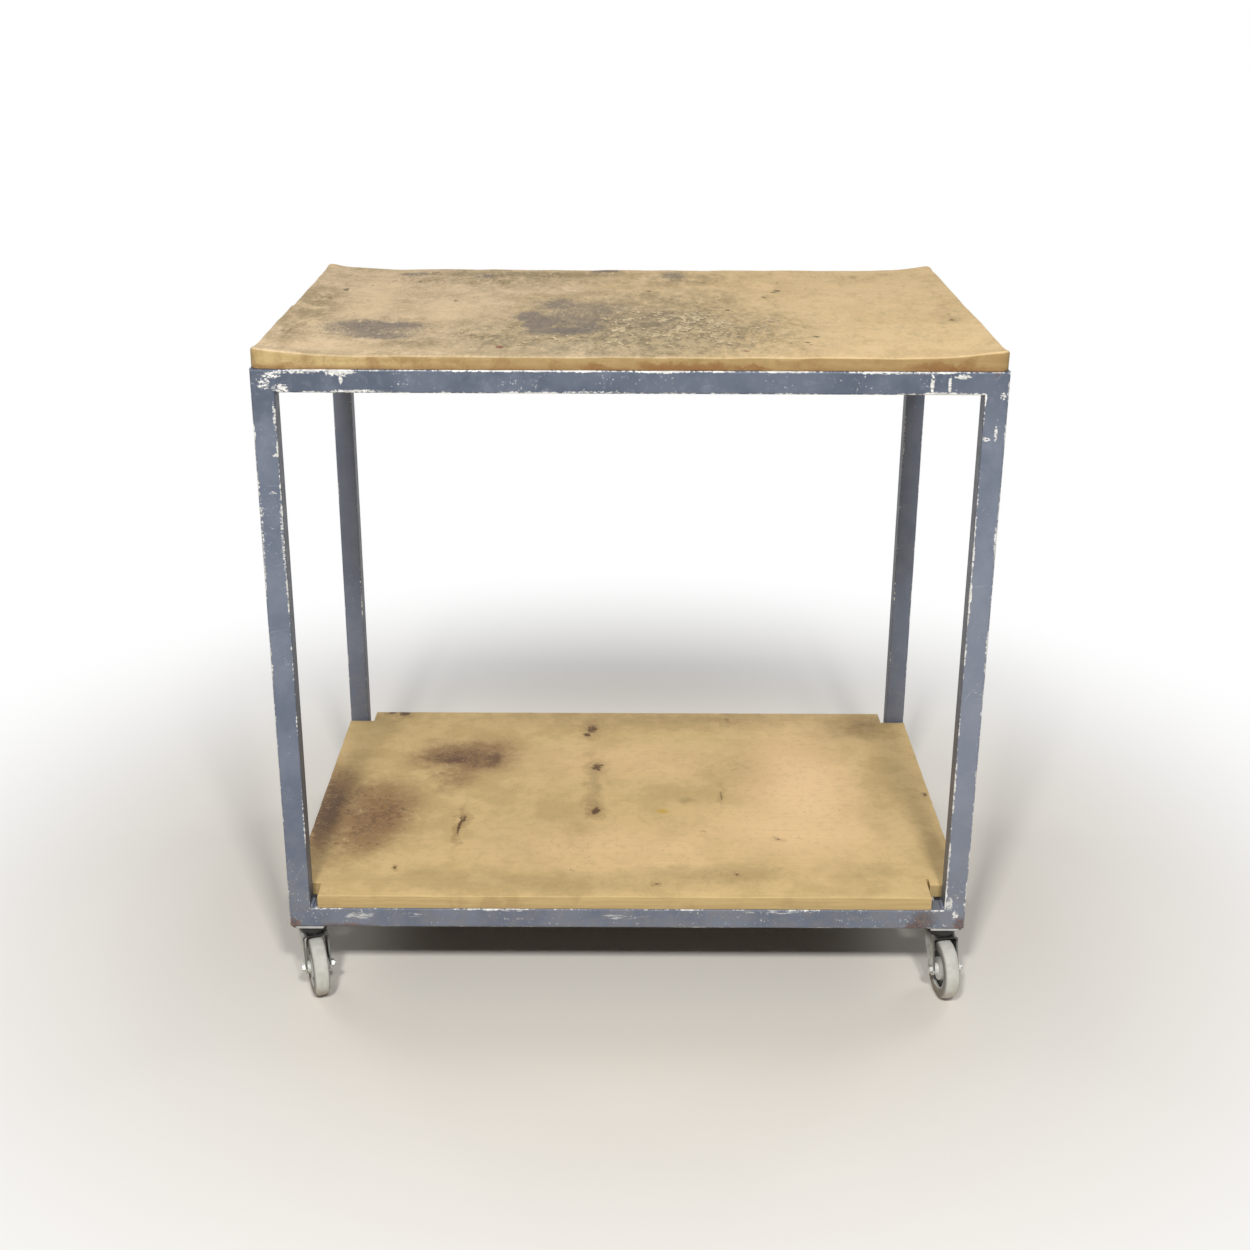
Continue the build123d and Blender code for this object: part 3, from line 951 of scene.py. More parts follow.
# Screen colours of the worktop, red, green and blue out of 255
worktop_tones = {
    "left": (226, 201, 165),
    "right": (233, 203, 153),
    "bright, left": (236, 207, 168),
    "bright, right": (240, 208, 158),
    "overcast, left": (178, 157, 119),
    "overcast, right": (200, 169, 119),
    "haze, dark": (140, 123, 91),
    "haze, pale": (166, 146, 110),
    "grey": (160, 152, 138),
    "mottle, dark": (172, 146, 106),
    "mottle, pale": (238, 211, 168),
    "fine, dark": (150, 129, 95),
    "fine, pale": (240, 215, 174),
    "smear, dark": (170, 147, 108),
    "smear, pale": (240, 212, 170),
    "speck": (122, 101, 70),
    "grain": (166, 136, 94),
    "churned, dark": (126, 112, 86),
    "churned, pale": (200, 179, 140),
    "stain, dark": (90, 82, 79),
    "stain, pale": (124, 112, 98),
    "pit": (104, 90, 70),
    # Painted shadow just in front of the pale flakes
    "flake, shade": (106, 93, 70),
    "flake, pale": (234, 213, 174),
    "flake, dark": (208, 186, 146),
    "spot": (96, 81, 58),
    "red": (128, 48, 50),
    "edge, left": (188, 164, 116),
    "edge, right": (166, 141, 96),
    "edge, mottle": (150, 125, 82),
    "edge, smear": (134, 105, 64),
    "edge, grain": (148, 119, 78),
    "edge, foot": (138, 102, 66),
    "edge, stain": (128, 86, 50),
    # Painted highlight along the arris
    "rim": (228, 202, 152),
}


def worn_worktop():
    """Pale worn wood: peach on the left, yellower on the right, clouded with grey; torn grey stains, a gouged
    zone of pale flakes with painted shadows and dark pits in the middle, and darker, redder edges with a
    painted highlight along the arris."""
    material, net, shader = finish_material("worktop_wood", tones=worktop_tones)
    place = net.object_place()
    x, _, z = net.xyz(place)
    shader.inputs["Specular IOR Level"].default_value = 0.15
    torn = ragged_place(net, place, coarse=16 * mm, fine=6 * mm)
    drawn_out = net.vector("MULTIPLY", place, (1.0, 0.45, 1.0))
    cloud = net.noise(place, size=130 * mm, detail=10.0, roughness=0.74)
    mottle = net.noise(drawn_out, size=18 * mm, detail=7.0, roughness=0.74)
    fine = net.noise(drawn_out, size=4 * mm, detail=5.0, roughness=0.7)
    grain = net.noise(net.stretched(place, (60 * mm, 2.2 * mm, 6 * mm)), size=1.0, detail=4.0, roughness=0.6)

    to_right = net.step(net.scaled(cloud, 0.5, x), 0.05, 0.4)
    colour = net.mix(to_right, "left", "right")
    bright = torn_marks(net, torn, worktop_bright, mottle, fade=0.9, depth=1.6, low=0.1, high=1.0)
    colour = net.coat(colour, net.mix(to_right, "bright, left", "bright, right"), bright, 0.8)
    calm = net.scaled(bright, -0.7, 1.0)
    overcast = net.times(net.step(cloud, 0.42, 0.60), net.blend(to_right, 0.68, 0.4), calm)
    overcast_tone = net.mix(to_right, "overcast, left", "overcast, right")
    colour = net.coat(colour, overcast_tone, overcast)
    haze = torn_marks(net, torn, worktop_hazes, mottle, fade=0.95, depth=3.6, low=0.1, high=1.2)
    haze_tone = net.mix(net.step(fine, 0.42, 0.6), "haze, dark", "haze, pale")
    colour = net.coat(colour, haze_tone, haze, 0.9)
    greyed = patches(net, torn, worktop_greys, fade=0.9)
    colour = net.coat(colour, "grey", greyed)
    colour = net.coat(colour, "mottle, dark", net.step(mottle, 0.5, 0.66, 0.0, 0.35))
    colour = net.coat(colour, "mottle, pale", net.step(mottle, 0.34, 0.46, 0.45, 0.0))
    plain = net.blend(to_right, 1.0, 0.45)
    colour = net.coat(colour, "fine, dark", net.step(fine, 0.5, 0.64), plain, calm, 0.26)
    colour = net.coat(colour, "fine, pale", net.step(fine, 0.5, 0.36), plain, 0.28)
    smear = net.noise(net.stretched(torn, (34 * mm, 46 * mm, 30 * mm)), size=1.0, detail=5.0, roughness=0.62)
    colour = net.coat(colour, "smear, dark", net.step(smear, 0.52, 0.66), plain, calm, 0.4)
    colour = net.coat(colour, "smear, pale", net.step(smear, 0.48, 0.34), plain, 0.5)
    share = net.scaled(haze, 0.14, net.blend(to_right, 0.12, 0.05))
    specks = flecked(net, drawn_out, size=5 * mm, share=share)
    colour = net.coat(colour, "speck", specks, 0.6)
    colour = net.coat(colour, "grain", net.step(grain, 0.46, 0.7, 0.0, 0.12))

    zone = patches(net, torn, worktop_gouges, fade=0.7)
    churn = net.noise(drawn_out, size=14 * mm, detail=6.0, roughness=0.8)
    churned = net.mix(net.step(churn, 0.43, 0.56), "churned, dark", "churned, pale")
    colour = net.coat(colour, churned, zone, net.step(mottle, 0.36, 0.6, 0.4, 0.8))

    rough = net.scaled(fine, 0.5, net.times(mottle, 0.5))
    stain = torn_marks(net, torn, worktop_stains, rough, fade=0.65, depth=4.2, low=0.05, high=0.85)
    stain_tone = net.mix(net.step(mottle, 0.4, 0.6), "stain, dark", "stain, pale")
    colour = net.coat(colour, stain_tone, stain, 0.84)

    pits = flecked(net, torn, size=6 * mm, share=net.scaled(zone, 0.12, 0.10))
    colour = net.coat(colour, "pit", pits, net.blend(to_right, 0.55, 0.3))
    # Painted shadow: the larger flakes' pattern moved about 5 mm towards the front and darkened, laid down
    # under the pale flakes
    behind = net.vector("ADD", drawn_out, (0.0, 2.4 * mm, 0.0))
    open_zone = net.times(zone, net.scaled(stain, -0.5, 1.0))
    small = net.scaled(open_zone, 0.18, 0.08)
    large = net.scaled(open_zone, 0.28, 0.05)
    chunky = net.times(open_zone, 0.3)
    shade = flecked(net, behind, size=10 * mm, share=large, crowding=1.2)
    colour = net.coat(colour, "flake, shade", shade, 0.75)
    pale = net.largest([
        flecked(net, drawn_out, size=10 * mm, share=large, crowding=1.2),
        flecked(net, drawn_out, size=5 * mm, share=small, crowding=1.2),
        flecked(net, drawn_out, size=19 * mm, share=chunky, crowding=0.8),
    ])
    pale_tone = net.mix(net.step(fine, 0.4, 0.6), "flake, pale", "flake, dark")
    colour = net.coat(colour, pale_tone, pale, 0.85)
    scattered = ragged_place(net, place, coarse=3 * mm, fine=4 * mm)
    spots = torn_marks(net, scattered, worktop_spots, rough, fade=0.9, depth=4.0, low=0.25, high=0.85)
    colour = net.coat(colour, "spot", spots, 0.8)
    red = torn_marks(net, scattered, worktop_reds, rough, fade=0.6, depth=2.0, low=0.1, high=0.7)
    colour = net.coat(colour, "red", red, 0.75)

    side = net.attribute("side")
    edge_tone = net.mix(net.step(x, -0.4, -0.1), "edge, left", "edge, right")
    edge_tone = net.coat(edge_tone, "edge, mottle", net.step(mottle, 0.4, 0.64, 0.0, 0.6))
    edge_tone = net.coat(edge_tone, "edge, smear", net.step(smear, 0.52, 0.64, 0.0, 0.5))
    edge_tone = net.coat(edge_tone, "edge, grain", net.step(grain, 0.42, 0.66, 0.0, 0.4))
    low = net.step(z, worktop_low.z, worktop_low.z + 8 * mm, 0.7, 0.0)
    edge_tone = net.coat(edge_tone, "edge, foot", low, net.step(cloud, 0.35, 0.6))
    red_brown = torn_marks(net, torn, edge_stains, mottle, fade=0.8, depth=1.6, low=0.1, high=0.9)
    edge_tone = net.coat(edge_tone, "edge, stain", red_brown, 0.7)
    colour = net.coat(colour, edge_tone, net.step(side, 0.04, 0.13))
    # Painted highlight along the front arris of the slab
    rim = net.times(net.step(side, 0.0, 0.02), net.step(side, 0.04, 0.1, 1.0, 0.0))
    colour = net.coat(colour, "rim", rim, net.step(mottle, 0.35, 0.6), 0.3)

    net.feed(shader.inputs["Base Color"], colour)
    net.feed(shader.inputs["Roughness"], net.scaled(stain, -0.1, net.step(fine, 0.2, 0.8, 0.58, 0.74)))
    relief = net.scaled(grain, 0.3, net.times(mottle, 0.6))
    torn_up = net.scaled(pale, 0.7, net.times(zone, churn, 2.0))
    relief = net.math("ADD", relief, net.math("SUBTRACT", torn_up, net.times(pits, 0.5)))
    raise_surface(net, shader, relief, depth=1.4 * mm, strength=0.6)
    return material


# Shelf stains, and painted shadows of the front legs along the side edges: x and y from the middle, half
# sizes and strength
shelf_stains = on_board(shelf_high.z, {
    "rear left burn": (-264, 134, 76, 56, 1.1),
    "rear left burn, upper": (-300, 168, 50, 40, 0.6),
    "rear left burn, right": (-222, 150, 56, 60, 0.6),
    "below the burn": (-276, 68, 40, 50, 0.7),
    "below the burn, foot": (-286, 24, 26, 34, 0.45),
    "left patch": (-388, -64, 70, 104, 1.0),
    "left patch, lower": (-400, -136, 56, 60, 0.95),
    # Stain and painted shadow of the front left leg along the left edge
    "left patch, edge, and painted leg shadow": (-458, -50, 36, 140, 1.1),
    "left patch, front": (-430, -200, 40, 50, 0.5),
    "rear right grime": (400, 258, 60, 50, 0.5),
    # Painted shadow of the front right leg along the right edge, tinted brown
    "right strip, painted leg shadow": (464, -20, 24, 260, 0.3),
    "rear edge grime": (60, 292, 420, 24, 0.3),
})
shelf_cores = on_board(shelf_high.z, {
    "burn, right": (-219, 122, 15, 26, 0.95),
    "burn, left": (-283, 122, 28, 16, 0.9),
    "burn, top": (-256, 150, 44, 18, 0.55),
    "left patch": (-388, -100, 34, 44, 0.4),
    # Dark stain and painted shadow of the front left leg along the left edge
    "left edge": (-464, -50, 24, 90, 1.1),
})
shelf_spots = on_board(shelf_high.z, {
    "column, rear": (-60, 244, 10, 20, 0.8),
    "column, rear tail": (-68, 220, 8, 8, 0.9),
    "column, middle": (-50, 96, 9, 15, 0.8),
    "column, middle, right": (-44, 104, 8, 6, 0.7),
    "column, front": (-48, -54, 6, 12, 1.1),
    "slash": (-254, -100, 2.6, 28, 1.1),
    "slash, head": (-250, -82, 4, 12, 0.9),
    "dot, left": (-335, -230, 3, 5, 1.0),
    "dot, front": (42, -272, 3, 4, 0.9),
    "dot, right": (226, -142, 3, 4, 0.8),
    "dot, right front": (157, -246, 3, 3, 0.7),
    "dot, right edge": (467, 5, 3, 5, 0.9),
    "thin mark, right": (147, -3, 2.4, 18, 0.6),
    "smudge, rear": (172, 280, 8, 14, 0.5),
    "rear edge chip": (-384, 302, 10, 10, 1.0),
    "rear edge chip, small": (-407, 306, 6, 6, 0.9),
})
shelf_halos = spread_out(shelf_spots, 2.4)
shelf_smears = on_board(shelf_high.z, {
    "column": (-55, 22, 14, 95, 0.6),
    "column, upper": (-60, 150, 10, 20, 0.45),
    "column, foot": (-66, -112, 22, 34, 0.4),
    "front": (110, -250, 130, 28, 0.55),
    "front left": (-110, -272, 240, 36, 0.5),
    "right": (180, 70, 80, 44, 0.35),
    "smudge, right": (92, -14, 16, 9, 0.6),
    "left": (-290, -245, 40, 14, 0.4),
    "right edge": (395, 0, 40, 170, 0.34),
    "right corner": (350, -240, 60, 30, 0.35),
    "rear": (0, 280, 430, 40, 0.4),
    "rear right": (330, 235, 110, 60, 0.25),
    "left of the middle": (-140, -140, 150, 110, 0.32),
    "right of the middle": (170, 90, 70, 50, 0.4),
})
shelf_pale = on_board(shelf_high.z, {
    "right": (275, 40, 80, 190, 1.1),
    "right front": (250, -110, 120, 80, 0.9),
    "middle": (0, -170, 180, 60, 0.6),
    "rear": (20, 120, 200, 60, 0.5),
})
shelf_yellow = on_board(shelf_high.z, {
    "right of the middle": (54, -54, 8, 6, 0.7),
})

# Screen colours of the shelf, red, green and blue out of 255
shelf_tones = {
    "pale tan": (222, 193, 138),
    "tan": (206, 178, 125),
    "pale": (250, 214, 163),
    "mottle": (184, 158, 108),
    "grain": (176, 146, 96),
    "smear": (146, 124, 88),
    "stain, dark": (118, 86, 58),
    "stain, pale": (150, 114, 74),
    "core": (84, 58, 44),
    "burnt speck": (92, 64, 46),
    "pale speck": (200, 164, 112),
    "halo": (136, 104, 70),
    "spot": (84, 57, 38),
    "yellow": (204, 164, 44),
    "fleck": (124, 100, 68),
    "edge, pale": (191, 166, 117),
    "edge, dark": (181, 155, 108),
    "edge, cloud": (160, 132, 90),
    "underside": (84, 70, 54),
}


def stained_shelf():
    """Yellow-tan board with burnt brown patches, a column of spots, grime along its edges and painted shadows
    of the front legs along its left and right edges.
    """
    material, net, shader = finish_material("shelf_wood", tones=shelf_tones)
    place = net.object_place()
    z = net.xyz(place)[2]
    cloud = net.noise(place, size=60 * mm, detail=7.0, roughness=0.64)
    mottle = net.noise(place, size=13 * mm, detail=6.0, roughness=0.7)
    fine = net.noise(place, size=4 * mm, detail=5.0, roughness=0.7)
    grain = net.noise(net.stretched(place, (90 * mm, 3 * mm, 4 * mm)), size=1.0, detail=4.0, roughness=0.6)
    shader.inputs["Specular IOR Level"].default_value = 0.15
    torn = ragged_place(net, place, coarse=18 * mm, fine=7 * mm)
    rough = net.scaled(fine, 0.5, net.times(mottle, 0.5))
    level = shelf_high.z

    colour = net.mix(net.step(cloud, 0.4, 0.62), "pale tan", "tan")
    pale = patches(net, torn, shelf_pale, fade=0.9)
    colour = net.coat(colour, "pale", pale, 0.9)
    colour = net.coat(colour, "mottle", net.step(mottle, 0.48, 0.7, 0.0, 0.25))
    colour = net.coat(colour, "grain", net.step(grain, 0.46, 0.7, 0.0, 0.08))
    smear = torn_marks(net, torn, shelf_smears, rough, fade=0.9, depth=1.2, low=0.05, high=1.0)
    colour = net.coat(colour, "smear", smear, 0.7)

    cloudy = net.scaled(cloud, 0.3, net.times(rough, 0.7))
    stain = torn_marks(net, torn, shelf_stains, cloudy, fade=0.95, depth=3.4, low=0.03, high=1.0)
    stain_tone = net.mix(net.step(rough, 0.42, 0.58), "stain, dark", "stain, pale")
    colour = net.coat(colour, stain_tone, stain, 0.88)
    core = torn_marks(net, torn, shelf_cores, rough, fade=0.9, depth=4.5, low=0.2, high=1.15)
    colour = net.coat(colour, "core", core, 0.7)
    burnt_specks = flecked(net, torn, size=9 * mm, share=net.times(stain, 0.33))
    colour = net.coat(colour, "burnt speck", burnt_specks, 0.42)
    pale_specks = flecked(net, place, size=5 * mm, share=net.times(stain, 0.2))
    colour = net.coat(colour, "pale speck", pale_specks, 0.4)
    scattered = ragged_place(net, place, coarse=3 * mm, fine=4 * mm)
    spots = torn_marks(net, scattered, shelf_spots, rough, fade=0.9, depth=3.4, low=0.3, high=0.85)
    halo = torn_marks(net, torn, shelf_halos, rough, fade=0.9, depth=2.0, low=0.1, high=1.0)
    colour = net.coat(colour, "halo", halo, 0.4)
    colour = net.coat(colour, "spot", spots, 0.88)
    yellow = patches(net, place, shelf_yellow, fade=0.7)
    colour = net.coat(colour, "yellow", yellow)
    flecks = flecked(net, place, size=5 * mm, share=0.13)
    colour = net.coat(colour, "fleck", flecks, 0.45)

    side = net.step(z, level - 1.2 * mm, level - 0.5 * mm, 1.0, 0.0)
    edge_tone = net.mix(net.step(grain, 0.35, 0.65), "edge, pale", "edge, dark")
    edge_tone = net.coat(edge_tone, "edge, cloud", net.step(cloud, 0.5, 0.66, 0.0, 0.5))
    colour = net.coat(colour, edge_tone, side)
    underside = net.step(z, shelf_low.z + 0.2 * mm, shelf_low.z + 0.8 * mm, 1.0, 0.0)
    colour = net.coat(colour, "underside", underside)

    net.feed(shader.inputs["Base Color"], colour)
    net.feed(shader.inputs["Roughness"], net.scaled(stain, -0.1, net.step(fine, 0.2, 0.8, 0.5, 0.66)))
    relief = net.scaled(grain, 0.3, net.times(mottle, 0.4))
    raise_surface(net, shader, relief, depth=0.6 * mm, strength=0.5)
    return material


# Heights above the floor of the dirt and painted shade at the head of the forks, the grey of the plates, the
# earth on the tyres and the painted contact shade at the foot of the tyres
soil_shade_foot = 76 * mm
soil_shade_full = 92 * mm
soil_shade_end = 102 * mm
soil_shade_head = 103 * mm
plate_foot = 104 * mm
plate_full = 105 * mm
earth_foot = 3 * mm
earth_head = 34 * mm
contact_shade_head = 6 * mm

# Screen colours of the casters, red, green and blue out of 255
caster_tones = {
    "zinc, pale": (206, 207, 203),
    "zinc, yellow": (190, 188, 176),
    "zinc, cloud": (136, 131, 114),
    "soil_and_painted_shade": (70, 66, 56),
    "plate": (160, 161, 162),
    # Near black: oily grime and painted shade under the crown and on the swivel race
    "grease_and_painted_shade": (32, 31, 29),
    "rubber, pale": (196, 195, 187),
    "rubber, dark": (184, 182, 172),
    "sidewall": (130, 128, 122),
    "dirt": (110, 104, 94),
    "earth": (142, 122, 100),
    "painted_contact_shade": (76, 66, 58),
    "hub, pale": (206, 205, 200),
    "hub, dark": (188, 187, 180),
    "painted_groove_shade": (40, 40, 38),
}


def dull_zinc():
    """Dulled zinc-plated sheet: pale grey with a yellow tinge, darkened at the head of the fork by dirt and
    painted shade, and near black where the mask gives oily grime and painted shade."""
    material, net, shader = finish_material("caster_zinc", tones=caster_tones)
    place = net.object_place()
    cloud = net.noise(place, size=9 * mm, detail=4.0, roughness=0.6)
    broad = net.noise(place, size=26 * mm, detail=2.0)
    colour = net.mix(net.step(broad, 0.4, 0.62), "zinc, pale", "zinc, yellow")
    colour = net.coat(colour, "zinc, cloud", net.step(cloud, 0.5, 0.72, 0.0, 0.5))
    z = net.xyz(place)[2]
    # Dirt and painted shade at the head of the fork, under the plate
    soil_and_shade = net.times(net.step(z, soil_shade_foot, soil_shade_full), net.step(z, soil_shade_end, soil_shade_head, 0.75, 0.0))
    colour = net.coat(colour, "soil_and_painted_shade", soil_and_shade, net.step(cloud, 0.3, 0.6, 0.7, 1.0))
    colour = net.coat(colour, "plate", net.step(z, plate_foot, plate_full, 0.0, 0.6))
    # Near black where the mask says: oily grime and painted shade
    grease_and_painted_shade = net.attribute("grease_and_painted_shade")
    colour = net.coat(colour, "grease_and_painted_shade", grease_and_painted_shade)
    net.feed(shader.inputs["Base Color"], colour)
    net.feed(shader.inputs["Metallic"], net.scaled(grease_and_painted_shade, -0.25, 0.3))
    net.feed(shader.inputs["Roughness"], net.step(cloud, 0.3, 0.7, 0.34, 0.55))
    raise_surface(net, shader, cloud, depth=0.15 * mm, strength=0.4)
    return material


def grey_tyre():
    """Pale grey rubber, darker on the sidewalls, with specks of dirt, brown earth near the ground and painted
    contact shade where the tyre meets the floor.
    """
    material, net, shader = finish_material("tyre_rubber", roughness=0.7, tones=caster_tones)
    place = net.object_place()
    cloud = net.noise(place, size=12 * mm, detail=4.0, roughness=0.6)
    fine = net.noise(place, size=1.6 * mm, detail=3.0, roughness=0.6)
    z = net.xyz(place)[2]
    colour = net.mix(net.step(cloud, 0.35, 0.7), "rubber, pale", "rubber, dark")
    colour = net.coat(colour, "sidewall", net.attribute("sidewall"))
    dirt = flecked(net, place, size=6 * mm, share=0.12)
    colour = net.coat(colour, "dirt", dirt, 0.3)
    earth = net.times(net.step(z, earth_foot, earth_head, 0.8, 0.0), net.step(cloud, 0.36, 0.6, 0.3, 1.0))
    colour = net.coat(colour, "earth", earth)
    # Painted contact shade at the foot of the tyre, where it meets the floor
    colour = net.coat(colour, "painted_contact_shade", net.step(z, 0.0, contact_shade_head, 0.7, 0.0))
    net.feed(shader.inputs["Base Color"], colour)
    raise_surface(net, shader, fine, depth=0.12 * mm, strength=0.5)
    return material


def moulded_hub():
    """Pale plastic with painted shade, near black, in the recess round the hub face."""
    material, net, shader = finish_material("hub_plastic", roughness=0.45, tones=caster_tones)
    place = net.object_place()
    cloud = net.noise(place, size=8 * mm, detail=4.0, roughness=0.6)
    colour = net.mix(net.step(cloud, 0.35, 0.7), "hub, pale", "hub, dark")
    colour = net.coat(colour, "painted_groove_shade", net.attribute("painted_groove_shade"))
    net.feed(shader.inputs["Base Color"], colour)
    raise_surface(net, shader, cloud, depth=0.08 * mm, strength=0.4)
    return material


# inner gives how deep the painted shade on the faces turned inwards along X is
leg_paint = chipped_paint("leg_paint", (0.0, 0.0, 1.0), wear=0.67, reach=1.3 * mm, inner=0.5)
rail_paint = chipped_paint("rail_paint", (1.0, 0.0, 0.0), wear=0.63, reach=1.3 * mm)
side_rail_paint = chipped_paint("side_rail_paint", (0.0, 1.0, 0.0), wear=0.6, reach=1.4 * mm, inner=0.3)
worktop_wood = worn_worktop()
shelf_wood = stained_shelf()
caster_zinc = dull_zinc()
tyre_rubber = grey_tyre()
hub_plastic = moulded_hub()
bright_steel = plain_finish(
    "bright_steel", (196, 196, 192), (224, 224, 220), size=6 * mm, roughness=0.4, metallic=0.9
)
# Dark zinc for the inner side of the forks: grime and painted shade
zinc_grime_and_shade = plain_finish(
    "zinc_grime_and_shade", (52, 51, 48), (88, 86, 80), size=7 * mm, roughness=0.6, metallic=0.2
)
weld_paint = plain_finish("weld_paint", (92, 98, 116), (124, 130, 146), size=5 * mm, roughness=0.5)
burnt_weld = plain_finish("burnt_weld", (76, 60, 52), (150, 122, 108), size=4 * mm, roughness=0.8)

for face in ("front", "rear"):
    for hand in ("left", "right"):
        dressed_node(f"leg_{face}_{hand}", leg_paint)
    for level in ("top", "bottom"):
        dressed_node(f"{level}_rail_{face}", rail_paint)
for hand in ("left", "right"):
    for level in ("top", "bottom"):
        dressed_node(f"{level}_rail_{hand}", side_rail_paint)
for corner in corners:
    for hidden in ("king_pin", "swivel_balls", "axle_sleeve"):
        dressed_node(f"{hidden}_{corner}", bright_steel)


def worktop_slab():
    """Slab surface worn down flat in the middle and rising along an arc of the second degree to a lip at each
    end; two sizes of noise dent the top, tear the middle and make the outline uneven."""
    points, faces, way_down = slab_surface(
        half_width, half_depth, worktop_thick, worktop_corner, worktop_arris, worktop_foot, worktop_cell
    )
    x, y, z = np.moveaxis(points, -1, 0)
    plan = np.stack([x, y, 0 * x], axis=-1)
    past_flat = np.clip((np.abs(x) - worktop_flat) / (half_width - worktop_flat), 0, 1)
    hollow = worktop_wear * (1 - past_flat ** 2)
    swell = layered_noise(plan, worktop_swells)
    past_x = (x - tear_middle[0]) / tear_reach[0]
    past_y = (y - tear_middle[1]) / tear_reach[1]
    gouged = np.exp(-(past_x ** 2 + past_y ** 2))
    tear = np.minimum(lattice_noise(plan * tear_stretch, tear_size, tear_seed), 0) * gouged
    lower = hollow - np.minimum(swell - worktop_slack, 0) - tear_depth * tear
    z = z - lower * (1 - np.clip(-z / worktop_thick, 0, 1))
    for end, lift_left, lift_right, reach in corner_lifts:
        at_corner = np.hypot((np.abs(x) - half_width) / reach, (y - end) / corner_lift_depth)
        z = z + np.where(x < 0, lift_left, lift_right) * np.exp(-at_corner ** 2) * (1 - way_down)
    dent = layered_noise(points, worktop_dents) - worktop_slack
    hewn = smooth_step(y, hewn_front, hewn_back) * np.exp(-np.clip(y, 0, None) / hewn_length)
    dent = dent - hewn_depth * np.where(x < 0, hewn, 0)
    at_edge = smooth_step(np.maximum(np.abs(x) - half_width, np.abs(y) - half_depth), -worktop_corner, 0)
    x = x + dent * at_edge * np.where(np.abs(x) > half_width - worktop_corner, np.sign(x), 0)
    y = y + dent * at_edge * np.where(np.abs(y) > half_depth - worktop_corner, np.sign(y), 0)
    points = np.stack([x, y, z + worktop_high.z], axis=-1)
    make_piece("worktop_slab", points, faces, "frame", "worktop", "worktop_wood", worktop_wood,
               masks={"side": way_down})


def shelf_outline():
    """Outline of the notched board, anticlockwise from the front left tongue, with the saw cut."""
    left, right, front_y, rear_y = -half_width, half_width, -half_depth, half_depth
    cut = right - wide_notch_width
    return np.array([
        (left + notch_width, front_y),
        (cut, front_y),
        (cut, front_y + notch_depth + saw_cut_length),
        (cut + saw_cut_width, front_y + notch_depth + saw_cut_length),
        (cut + saw_cut_width, front_y + notch_depth),
        (right, front_y + notch_depth),
        (right, rear_y - notch_depth),
        (right - notch_width, rear_y - notch_depth),
        (right - notch_width, rear_y),
        (left + notch_width, rear_y),
        (left + notch_width, rear_y - notch_depth),
        (left, rear_y - notch_depth),
        (left, front_y + notch_depth),
        (left + notch_width, front_y + notch_depth),
    ])


def shelf_panel():
    """The outline, cut into short steps, carried up from the underside to the top: inset by the arris at
    both faces and full between them, with a slight unevenness from hand sawing. A face closes each side."""
    outline = shelf_outline()
    nexts = np.roll(outline, -1, axis=0)
    along = (nexts - outline) / np.linalg.norm(nexts - outline, axis=1, keepdims=True)
    outward = np.stack([along[:, 1], -along[:, 0]], axis=1)
    points, normals = [], []
    for start, stop, normal, previous in zip(outline, nexts, outward, np.roll(outward, 1, axis=0)):
        count = max(1, int(np.linalg.norm(stop - start) / shelf_step))
        share = np.arange(count)[:, None] / count
        points.append(start + (stop - start) * share)
        normals.append(np.concatenate([[normal + previous], np.repeat([normal], count - 1, axis=0)]))
    points, normals = np.concatenate(points), np.concatenate(normals)
    flat = np.concatenate([points, np.zeros((len(points), 1))], axis=1)
    points = points - normals * (sawn_depth + sawn_depth * lattice_noise(flat, sawn_size, sawn_seed))[:, None]
    turn = np.linspace(0, math.pi / 2, arris_steps)
    inset = shelf_arris * (1 - np.sin(turn))
    height = shelf_arris * (1 - np.cos(turn))
    thick = shelf_high.z - shelf_low.z
    rings = [(a, shelf_low.z + b) for a, b in zip(inset, height)]
    rings += [(a, shelf_low.z + thick - b) for a, b in zip(inset[::-1], height[::-1])]
    layers = [np.column_stack([points - normals * a, np.full(len(points), z)]) for a, z in rings]
    faces = closed_tube_faces(len(layers), len(points))
    make_piece("shelf_panel", np.concatenate(layers), faces, "frame", "shelf_board", "shelf_wood", shelf_wood)


def weld_bead(corner, side_a, side_b, length, leg):
    """Rippled fillet weld in the corner between two faces. Across it runs from one leg to the other with a
    slight bulge; along it the legs swell and shrink like overlapping scales and vanish at both ends."""
    side_a, side_b = np.array(side_a, float), np.array(side_b, float)
    run = np.cross(side_a, side_b)
    along = np.linspace(-1, 1, bead_rows)[:, None]
    across = np.linspace(0, 1, bead_columns)[None, :]
    arch = np.sin(math.pi * across)
    turns = along * length / (4 * leg * bead_pitch) + bead_bow * arch
    scale = bead_floor + (1 - bead_floor) * np.abs(np.sin(math.pi * turns))
    taper = np.sqrt(np.clip(1 - along ** bead_end_power, 0, 1))
    size = leg * (1 - bead_swell + bead_swell * scale) * taper
    bulge = bead_bulge * arch
    a = (size * (1 - across + bulge))[..., None]
    b = (size * (across + bulge))[..., None]
    face = np.array(corner) + a * side_a + b * side_b + (along * length / 2)[..., None] * run
    root = np.array(corner) + (along * length / 2) * run
    points = np.concatenate([face, root[:, None, :]], axis=1)
    faces = closed_tube_faces(*points.shape[:2])
    points = points.reshape(-1, 3)
    return points, turned_outwards(points, faces)


